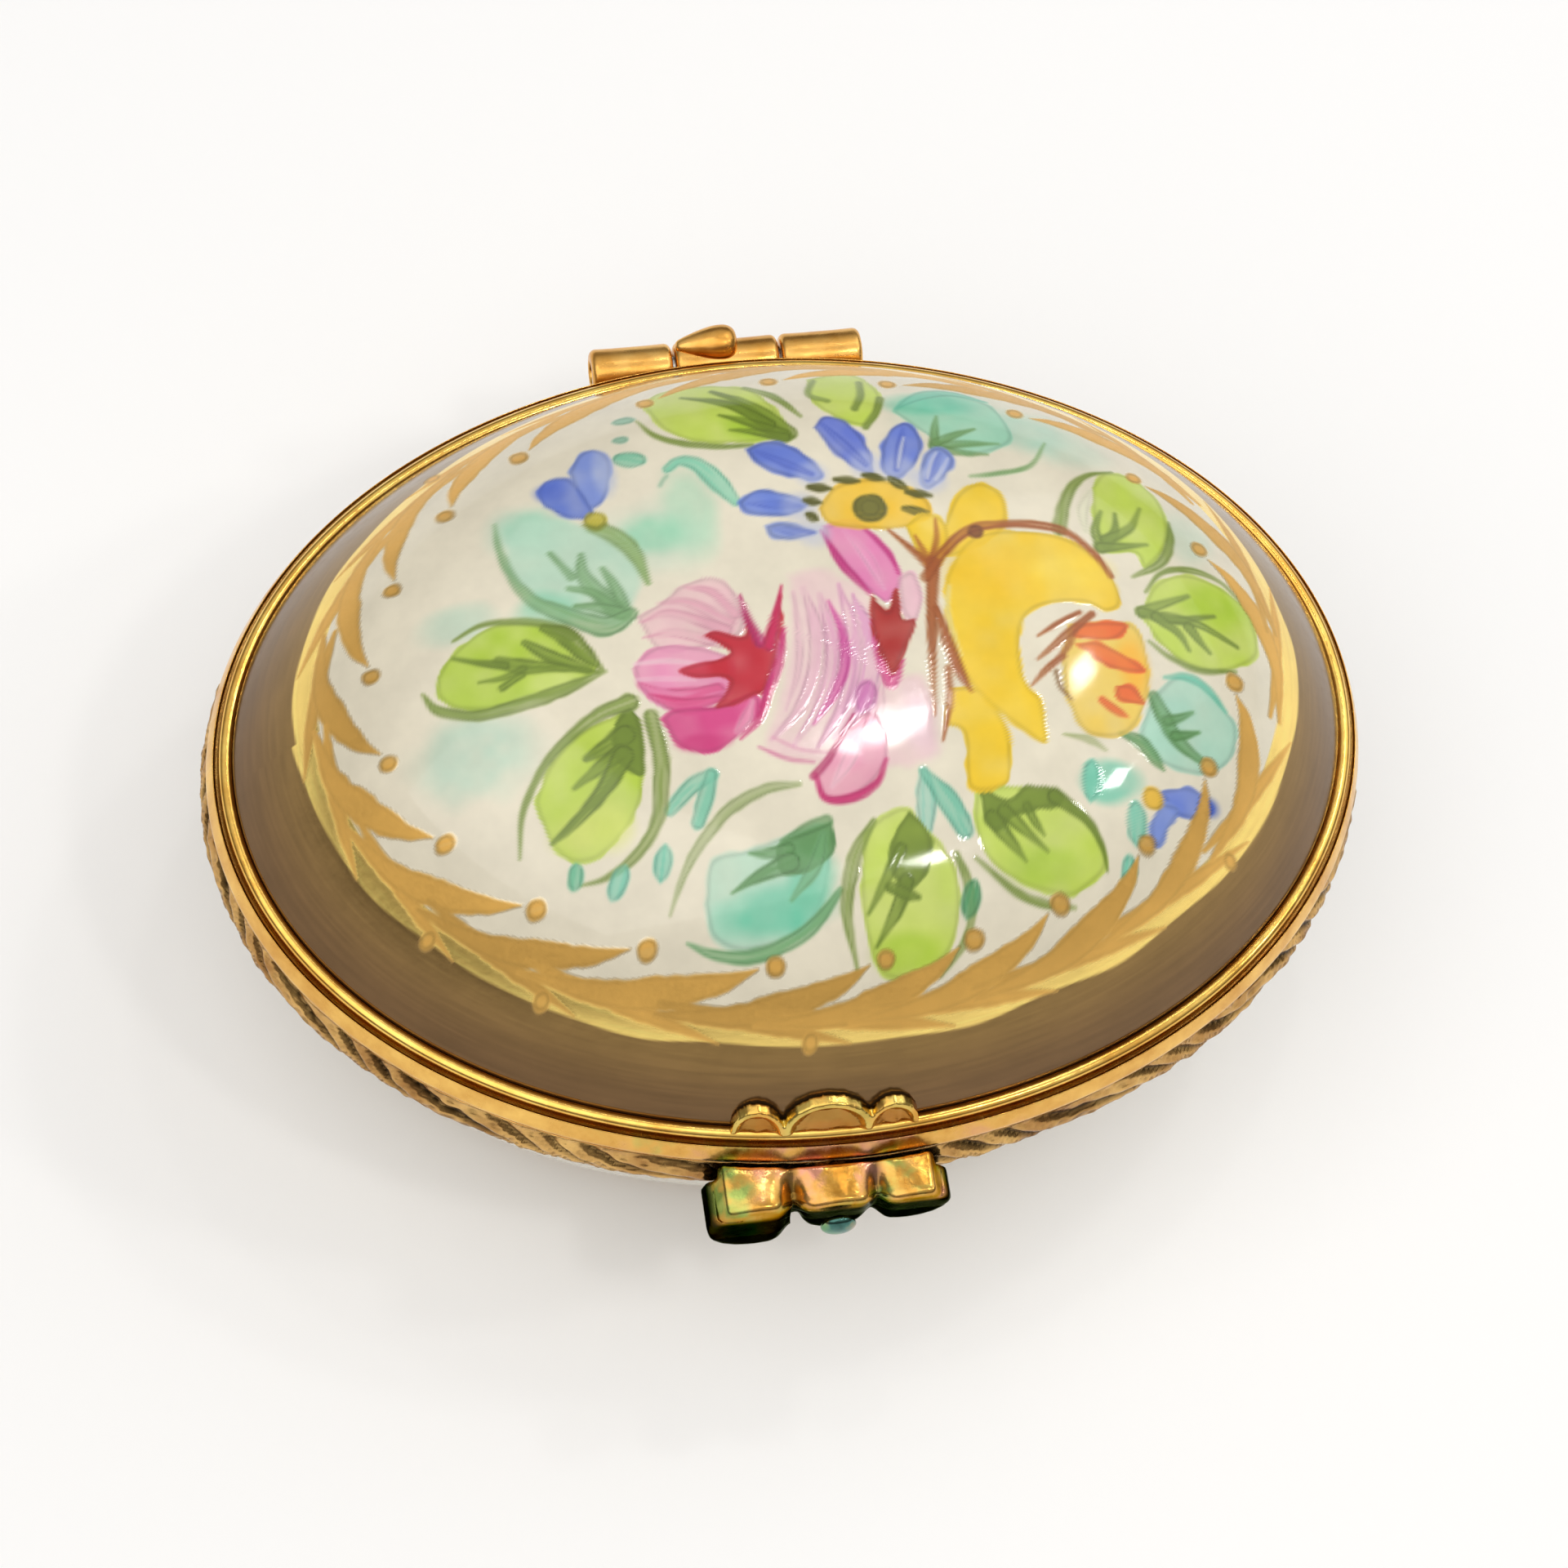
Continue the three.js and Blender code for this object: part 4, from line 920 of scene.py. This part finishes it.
# ---------------------------------------------------------------- the lid's porcelain
def outer_dome(rho):
    """Height of the lid's outside, a share rho of the way out to its edge."""
    return RIM_Z + DOME_RISE * (1 - rho**DOME_POWER)


def build_lid():
    """The lid's shell: a fine painted top, a rolled rim and a plain inside."""
    cells = 480
    a, b = np.meshgrid(np.linspace(-1, 1, cells + 1), np.linspace(-1, 1, cells + 1), indexing="ij")
    a, b = a.ravel(), b.ravel()
    # A square grid pulled into a disc, then spread so that its cells are even over the dome.
    radius = np.maximum(np.abs(a), np.abs(b))
    wide = np.abs(a) >= np.abs(b)
    with np.errstate(divide="ignore", invalid="ignore"):
        turn = np.where(wide, math.pi / 4 * b / a, math.pi / 2 - math.pi / 4 * a / b)
    turn = np.where(radius == 0, 0, turn)
    side = np.where(wide, np.sign(a), np.sign(b))
    side = np.where(side == 0, 1, side)
    rr = np.linspace(0, 1, 2000)
    slope = DOME_RISE * DOME_POWER * rr ** (DOME_POWER - 1)
    arc = np.concatenate([[0], np.cumsum(np.hypot(MEAN_RADIUS, slope)[1:] * np.diff(rr))])
    rho = np.interp(radius, arc / arc[-1], rr)
    u, v = side * rho * np.cos(turn), side * rho * np.sin(turn)
    x, y = HALF_X * u, HALF_Y * v

    canvas = Canvas(x, y)
    paint_teal(canvas)
    paint_leaves(canvas)
    paint_pink(canvas)
    paint_blue(canvas)
    paint_yellow(canvas)
    angle = np.arctan2(v, u)
    gold, matt = gild(canvas, rho, angle)

    relief = np.clip(canvas.body, 0, 1)
    lift = -0.03 + 0.012 * relief + 0.006 * matt
    z = outer_dome(rho) + lift * (1 - smooth(0.9, 1.0, rho) * 0.5)
    points = list(zip(x, y, z))
    n = cells + 1
    faces = []
    for i in range(cells):
        for j in range(cells):
            k = i * n + j
            faces.append((k, k + n, k + n + 1, k + 1))
    edge = [j * n for j in range(cells)] + [cells * n + j for j in range(cells)]
    edge += [(cells - j) * n + cells for j in range(cells)] + [cells - j for j in range(cells)]
    last = edge
    bottom = lid_low.z

    def ring(make):
        start = len(points)
        for k in edge:
            points.append(make(x[k] / HALF_X, y[k] / HALF_Y))
        return list(range(start, start + len(edge)))

    def inner(r):
        sideways = WALL * r
        height = RIM_Z + (DOME_RISE - WALL) * (1 - r**DOME_POWER)
        return lambda u, v: ((HALF_X * r - sideways) * u, (HALF_Y * r - sideways) * v, height)

    rows = [lambda u, v: (HALF_X * u, HALF_Y * v, bottom + 0.25),
            lambda u, v: ((HALF_X - 0.25) * u, (HALF_Y - 0.25) * v, bottom),
            lambda u, v: ((HALF_X - WALL + 0.25) * u, (HALF_Y - WALL + 0.25) * v, bottom),
            lambda u, v: ((HALF_X - WALL) * u, (HALF_Y - WALL) * v, bottom + 0.25)]
    rows += [inner(r) for r in (1.0, 0.98, 0.95, 0.91, 0.86, 0.8, 0.72, 0.62, 0.5, 0.36, 0.2, 0.08)]
    for make in rows:
        row = ring(make)
        for j in range(len(edge)):
            k = (j + 1) % len(edge)
            faces.append((last[j], row[j], row[k], last[k]))
        last = row
    points.append((0, 0, RIM_Z + DOME_RISE - WALL))
    faces += [(last[j], len(points) - 1, last[(j + 1) % len(last)]) for j in range(len(last))]

    lid = mesh_object("lid_painted", points, faces, "lid", "lid_porcelain")
    rest = len(points) - len(x)
    pigment = (np.clip(canvas.color, 0, 255) / 255) ** 2.2
    pigment = np.vstack([pigment, np.tile(linear(*IVORY), (rest, 1))])
    layers = np.column_stack([gold, matt, relief])
    layers = np.vstack([layers, np.zeros((rest, 3))])
    band = slice(len(x), len(x) + 2 * len(edge))
    layers[band, 0] = 1
    # The rolled rim carries the same painted dark reflection.
    pigment[band] = linear(*DARK_PAINTED_REFLECTION)
    store(lid, "paint", pigment)
    store(lid, "layers", layers)
    lid.data.materials.append(painted_porcelain())


# ---------------------------------------------------------------- rings and hinge
def clear_of_barrel(points, own_middle):
    """Presses the back of a ring clear of the hinge barrel, closest where it carries a knuckle."""
    barrel_half, middle_half, snug, clear = 7.1, 2.75, 1.25, 1.45
    cleared = []
    for x, y, z in points:
        if abs(x) < barrel_half and y > 0:
            fitted = (abs(x) < middle_half) == own_middle
            reach = snug if fitted else clear
            dy, dz = y - HINGE[1], z - HINGE[2]
            away = math.hypot(dy, dz)
            if away < reach:
                y = HINGE[1] + dy / max(away, 1e-6) * reach
                z = HINGE[2] + dz / max(away, 1e-6) * reach
                y = min(y, HINGE[1])
        cleared.append((x, y, z))
    return cleared


def chasing(turn, height):
    """Relief of the chased band: long slanting leaves with veins over a sunk ground."""
    length = turn * MEAN_RADIUS
    lean = length + 5.0 * (height - 0.5) + 0.9 * np.sin(length * 0.7)
    cell = lean / 2.7
    index = np.floor(cell)
    across = (cell - index) * 2 - 1
    rand = np.sin(index * 12.9898) * 43758.5453
    rand = rand - np.floor(rand)
    across = across + 0.25 * (lattice_noise(length * 1.3, height * 3, 17) - 0.5)
    leaf = np.sqrt(np.clip(1 - (across / (0.74 + 0.2 * rand)) ** 2, 0, 1))
    vein = np.exp(-(((across - 0.1) / 0.12) ** 2)) * 0.3
    ribs = 0.08 * np.sin((length - 1.6 * height + np.abs(across) * 0.8) * 5)
    pitted = lattice_noise(length * 1.6 + 60, height * 3, 21) * 0.24
    swell = lattice_noise(length * 0.45 + 7, height * 0.5, 4) * 0.35
    return np.clip((leaf * (0.82 - vein) + ribs * leaf) * (0.75 + swell) + pitted - 0.1, 0, 1)


def build_base_band():
    """The bowl's brass band: its chased face outside, a flat top, and a flange inside the wall."""
    steps, rows = 1500, 16
    low, high = base_low.z, base_high.z
    points, shade = [], []
    turn = np.arange(steps) * 2 * math.pi / steps
    for out, z in [(0.12, low), (0.7, low), (1.2, low)]:
        points += oval_sweep([(out, z)], steps)
        shade += [1.0] * steps
    for i in range(rows):
        h = i / (rows - 1)
        relief = chasing(turn, np.full(steps, h))
        face = 1.66 - 0.46 * float(smooth(0.4, 1.0, h)) - 0.22 * float(smooth(0.3, 0.0, h))
        out = face - 0.34 * (1 - relief) * float(smooth(1.05, 0.9, h))
        z = low + 0.04 + (high - low - 0.06) * h
        points += list(zip((HALF_X + out) * np.cos(turn), (HALF_Y + out) * np.sin(turn), [z] * steps))
        # Painted shade: the sunk ground between the chased leaves is darkened almost to black, while the
        # raised leaves keep their gilding.
        shade += list(np.clip(0.02 + 1.5 * relief, 0, 1))
    for out, z in [(1.1, high), (0.5, high), (-1.9, high), (-2, high - 0.1), (-2, 14.5), (0.12, 14.5)]:
        points += oval_sweep([(out, z)], steps)
        shade += [1.0] * steps
    count = len(points) // steps
    band = mesh_object(
        "base_band", clear_of_barrel(points, False), grid_faces(count, steps, True), "base",
        "base_bezel",
    )
    store(band, "painted_shade", shade)
    metal = brass("chased_brass", linear(228, 184, 112), linear(172, 126, 74), 0.22, 3000, dents=0.00003)
    band.data.materials.append(with_painted_shade(metal, "painted_shade", linear(48, 38, 26)))


def build_lid_ring():
    """The lid's plain ring with the bright wire on it, and the bowl's locating lip inside."""
    section = [(-1.8, 15.4), (1.12, 15.4), (1.28, 15.55), (1.28, 15.8), (0.96, 16.75), (0.88, 16.6),
               (0.05, 16.6), (0.05, 16.05), (-1.8, 16.05)]
    section = rounded(section, 0.09, 3)
    steps = 1000
    points = oval_sweep(section, steps)
    points = clear_of_barrel(points, True)
    ring = mesh_object("lid_ring", points, grid_faces(len(section), steps, True), "lid",
                       "lid_bezel")
    # Painted shade in the groove between the bright wire and the ring's flat top.
    shade = [0.2 if 0 < out < 0.9 and z > 16.4 else 1.0 for out, z in section]
    store(ring, "painted_shade", np.repeat(shade, steps))
    metal = brass("satin_brass", linear(246, 198, 108), linear(214, 158, 78), 0.2, 1900, (1, 1, 0.25),
                  tarnish=0.8, dents=0.00003)
    ring.data.materials.append(with_painted_shade(metal, "painted_shade", linear(96, 66, 36)))
    lip = [(-2.45, 14.52), (-2.05, 14.52), (-2.05, 15.9), (-2.12, 16.0), (-2.38, 16.0), (-2.45, 15.9)]
    lip = rounded(lip, 0.06, 3)
    piece = mesh_object("locating_lip_ring", oval_sweep(lip, 360), grid_faces(len(lip), 360, True),
                        "base", "locating_lip")
    piece.data.materials.append(brass("lip_brass", GOLD, DEEP_GOLD, 0.3, 1600, (1, 1, 6)))
    wire = [(0.33 + 0.34 * math.cos(a), 16.95 + 0.3 * math.sin(a))
            for a in (2 * math.pi * i / 14 for i in range(14))]
    wire_ring = mesh_object("lid_wire_ring", oval_sweep(wire, 720), grid_faces(14, 720, True), "lid",
                            "lid_wire")
    wire_ring.data.materials.append(
        brass("bright_brass", linear(252, 210, 112), linear(228, 170, 78), 0.14, 2200))


def lathe(name, profile, centre, body, node, axis="X", steps=72):
    """A turned piece. The profile is (radius, distance along the axis), closed on itself."""
    points = []
    for r, along in profile:
        for j in range(steps):
            a = 2 * math.pi * j / steps
            c, s = r * math.cos(a), r * math.sin(a)
            spot = {"X": (along, c, s), "Y": (c, along, s)}[axis]
            points.append(tuple(p + q for p, q in zip(centre, spot)))
    closed = profile[0][0] > 0.01
    return mesh_object(name, points, grid_faces(len(profile), steps, closed), body, node)


def knuckle_profile(left, right):
    """A tube between two ends, rounded over outside and reamed inside."""
    outer, round_over = BARREL_RADIUS, 0.32
    profile = [(BORE_RADIUS, left + 0.05), (BORE_RADIUS + 0.06, left)]
    for i in range(6):
        a = math.pi / 2 * i / 5
        profile.append((outer - round_over * (1 - math.sin(a)), left + round_over * (1 - math.cos(a))))
    half = [(r, left + right - x) for r, x in reversed(profile)]
    waist = [(outer - 0.02, left + (right - left) * f) for f in (0.3, 0.5, 0.7)]
    return profile + waist + half


def build_hinge():
    """Three knuckles on a steel pin, and the drop-shaped boss on the middle one."""
    centre = (0, HINGE[1], HINGE[2])
    shade = (linear(240, 190, 108), linear(216, 156, 74))
    metal = brass("hinge_brass", *shade, 0.27, 1500, (0.4, 1.4, 1.4), dents=0.00004)
    for name, node, body in (
        ("knuckle_left", "hinge_knuckle_left", "base"), ("knuckle_right", "hinge_knuckle_right", "base"),
        ("knuckle_middle", "hinge_knuckle_middle", "lid"),
    ):
        low, high = (corner.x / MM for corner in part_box(node))
        piece = lathe(name, knuckle_profile(low, high), centre, body, node)
        piece.data.materials.append(metal)
    end = [(0, -6.75), (0.3, -6.72), (0.46, -6.6), (0.52, -6.42)]
    pin = lathe("pin", end + [(r, -x) for r, x in reversed(end)], centre, "base",
                "hinge_pin", steps=40)
    g = Graph("pin_steel")
    drawn = g.noise(2600, 3, (0.2, 2, 2))
    g.set(Base_Color=g.mix(drawn, linear(168, 166, 160), linear(206, 204, 198)), Metallic=1.0,
          Roughness=g.ramp(drawn, (0.3, 0.2), (0.7, 0.36)), Normal=g.bump(drawn, 0.2, 0.00002))
    pin.data.materials.append(g.material)
    drop = [(0, -2.55), (0.3, -2.45), (0.62, -1.7), (0.85, -0.95), (0.935, -0.4), (0.91, 0.05),
            (0.72, 0.38), (0.4, 0.52), (0, 0.56)]
    line, _ = spline(drop, 1.0, 6)
    profile = [(max(float(r), 0.0), float(x)) for r, x in line]
    tip = lathe("teardrop", profile, (0, 22.21, 16.30), "lid", "hinge_teardrop")
    tip.data.materials.append(metal)


# ---------------------------------------------------------------- clasp
def resculpt(node, name, cell, move, body, smoothing=4):
    """The CAD piece's own form, remeshed finely and reworked by move(point) as if chased by hand."""
    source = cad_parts[node]
    mesh = source.data.copy()
    work = bpy.data.objects.new(name + "_work", mesh)
    bpy.context.scene.collection.objects.link(work)
    remesh = work.modifiers.new("remesh", "REMESH")
    remesh.mode = "VOXEL"
    remesh.voxel_size = cell * MM
    soften = work.modifiers.new("soften", "SMOOTH")
    soften.factor = 0.5
    soften.iterations = smoothing
    bpy.context.view_layer.update()
    made = work.evaluated_get(bpy.context.evaluated_depsgraph_get())
    fine = bpy.data.meshes.new_from_object(made)
    points = [tuple(v.co / MM) for v in fine.vertices]
    faces = [tuple(p.vertices) for p in fine.polygons]
    bpy.data.objects.remove(work)
    bpy.data.meshes.remove(fine)
    return mesh_object(name, [move(*p) for p in points], faces, body, node)


def dome_offset(x, y, z):
    """Distance of a point outside the lid's porcelain, measured roughly across it."""
    rho = math.hypot(x / HALF_X, y / HALF_Y)
    level = min(max(1 - (z - RIM_Z) / DOME_RISE, 0.01), 1) ** (1 / DOME_POWER)
    return (rho - level) * HALF_Y * 0.95


def build_clasp():
    """The cast clasp: scalloped crest, three-lobed bow and bead on the lid, and the bowl's nub."""
    scallops = ((0, 17.5, 1.75), (-3.2, 17.3, 1.55), (2.95, 17.3, 1.55))

    # The middle scallop is drawn wide and the outer two narrow.
    even, spread = (-4.8, -1.6, 1.6, 4.6), (-4.65, -2.0, 2.0, 4.45)

    def depth_inside(across, height):
        return max(r - math.hypot(across - dx, height - zc) for dx, zc, r in scallops)

    def roll_edges(x, y, z):
        out = dome_offset(x, y, z)
        inside = depth_inside(x - CLASP_X, z)
        hollow = 0.26 * float(smooth(0.24, 0.6, inside))
        ribs = 0.04 * math.sin(x * 6) * (1 if inside > 0.5 else 0)
        if out > 0.3:
            y *= 1 - (hollow + ribs) * 0.9 / HALF_Y
        return CLASP_X + float(np.interp(x - CLASP_X, even, spread)), y, z

    crest = resculpt("clasp_crest", "crest", 0.075, roll_edges, "lid", 2)
    cast = brass("crest_brass", linear(246, 200, 108), linear(206, 150, 66), 0.18, 1500, tarnish=0.35,
                 dents=0.00006)
    # Painted shade: the scallops' hollows are darkened to orange-brown.
    cast = with_painted_shade(cast, "painted_shade", linear(150, 90, 38))

    def carve_lobes(x, y, z):
        dx = x - CLASP_X
        front = min(max((-y - 21.6) / 1.4, 0), 1)
        for crease, depth, wide in ((-1.8, 0.55, 0.5), (2.25, 0.45, 0.45)):
            fall = depth * math.exp(-(((dx - crease) / wide) ** 2))
            if z > 14.4:
                z -= fall * (0.3 + 0.7 * front)
            y += fall * 0.9 * front
        if z > 14.9:
            z += (0.12 * math.sin(dx * 1.6 + 0.7) - 0.1) * front
        if z < 15.3:
            y += (0.2 if dx > -1.8 else -0.3) * front * min(1, (15.3 - z) / 2)
        return x, y, z

    bow = resculpt("clasp_bow", "bow", 0.085, carve_lobes, "lid", 22)
    metal = brass("cast_brass", linear(236, 188, 98), linear(182, 128, 54), 0.2, 1500, tarnish=0.9,
                  dents=0.00007)
    # Painted shade: the bow's lower front and its two creases are darkened to near-black green, and the
    # dark specular tint dims the grazing reflection over the bow.
    metal = with_painted_shade(metal, "painted_shade", linear(22, 30, 20))
    metal.node_tree.nodes["Principled BSDF"].inputs["Specular Tint"].default_value = (0.3, 0.33, 0.25, 1)
    for piece in (crest, bow):
        shade = []
        for vertex in piece.data.vertices:
            x, y, z = vertex.co / MM
            if piece is crest:
                # Painted shade, deepest inside the scallops.
                inside = depth_inside(float(np.interp(x - CLASP_X, spread, even)), z)
                shade.append(1 - 0.7 * float(smooth(0.3, 0.62, inside)))
            else:
                # Painted shade: darker below the bow's upper edge and along its two creases.
                lit = float(smooth(14.5, 15.05, z))
                for crease in (-1.8, 2.25):
                    lit *= 1 - 0.75 * math.exp(-(((x - CLASP_X - crease) / 0.32) ** 2))
                shade.append(0.04 + 0.96 * lit)
        store(piece, "painted_shade", shade)
        piece.data.materials.append(cast if piece is crest else metal)

    low, high = (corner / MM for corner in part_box("clasp_bead"))
    r, length = (high.x - low.x) / 2, high.y - low.y
    profile = [(r * math.sin(a), high.y - length * (1 - math.cos(a)) / 2)
               for a in (math.pi * i / 24 for i in range(25))]
    profile[0], profile[-1] = (0, profile[0][1]), (0, profile[-1][1])
    centre = ((low.x + high.x) / 2, 0, (low.z + high.z) / 2)
    bead = lathe("bead", profile, centre, "lid", "clasp_bead", "Y", 48)
    bead.data.materials.append(brass("bead_brass", linear(112, 172, 160), linear(60, 92, 86), 0.12,
                                     1800, tarnish=0.6))
    low, high = (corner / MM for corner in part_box("catch_nub"))
    r = (high.x - low.x) / 2
    profile = [(0, high.y), (r, high.y), (r, low.y + 0.18), (r * 0.9, low.y + 0.07), (r * 0.66, low.y),
               (0, low.y)]
    centre = ((low.x + high.x) / 2, 0, (low.z + high.z) / 2)
    nub = lathe("nub", profile, centre, "base", "catch_nub", "Y", 40)
    nub.data.materials.append(brass("nub_brass", GOLD, DEEP_GOLD, 0.24, 1700))


# ---------------------------------------------------------------- the bowl
def build_base():
    """The bowl: a turned foot, full sides, a plain rim under the band and a smooth inside."""
    outside = [(0.72, 0), (0.765, 0.25), (0.815, 1), (0.87, 2.4), (0.92, 4.4), (0.96, 7), (0.985, 9.8),
               (1.0, 12.9), (1.0, 14.4)]
    inside = [(1.0, 12.6), (0.985, 9.8), (0.96, 7.2), (0.92, 5.2), (0.87, 3.8), (0.8, 2.9), (0.68, 2.4)]
    outer, _ = spline(outside, 1.0, 6)
    inner, _ = spline(inside, 1.0, 6)
    steps = 360
    rows = [(0.0001, 0, 0.35), (0.3, 0, 0.35), (0.6, 0, 0.35), (0.665, 0, 0.3), (0.68, 0, 0.1),
            (0.7, 0, 0.0)]
    rows += [(min(float(s), 1.0), 0, max(float(z), 0.0)) for s, z in outer]
    rows += [(1.0, -0.2, 14.48), (1.0, -WALL + 0.25, 14.48), (1.0, -WALL, 14.3)]
    rows += [(min(float(s), 1.0), -WALL, float(z)) for s, z in inner]
    rows += [(0.5, -WALL, 2.4), (0.25, -WALL * 0.5, 2.4), (0.0001, 0, 2.4)]
    rows = [(s, o, min(z, 14.4)) for s, o, z in rows]
    points, gilding = [], []
    for share, out, z in rows:
        for j in range(steps):
            t = 2 * math.pi * j / steps
            points.append(((HALF_X * share + out) * math.cos(t), (HALF_Y * share + out) * math.sin(t), z))
            line = max(math.exp(-((z - 12.3) / 0.22) ** 2), math.exp(-((z - 0.75) / 0.3) ** 2))
            gilding.append(float(smooth(0.35, 0.6, line)) if out == 0 and share > 0.7 else 0.0)
    bowl = mesh_object("base_bowl", points, grid_faces(len(rows), steps), "base",
                       "base_porcelain")
    store(bowl, "gilding", np.column_stack([gilding] * 3))
    bowl.data.materials.append(plain_porcelain())


# ---------------------------------------------------------------- everything together
make_camera()
make_stage()
make_light("key", -60, 62, 420, 440, 0.6, (1.0, 0.97, 0.93))
make_light("fill", 120, 40, 500, 400, 0.34, (0.94, 0.97, 1.0))
# Small lamps, whose glints fall on the rose, the lime leaf, the small flower and the bud.
for name, azimuth, elevation, size, power in (
    ("one", 152, 68, 17, 0.03), ("two", 44, 65, 30, 0.09), ("three", 122, 58, 24, 0.05),
    ("four", 78, 46, 30, 0.08),
):
    make_light("lamp_" + name, azimuth, elevation, 380, size, power, (1.0, 0.98, 0.94))
build_lid()
build_base()
build_base_band()
build_lid_ring()
build_hinge()
build_clasp()
bpy.context.scene.view_settings.view_transform = "Standard"
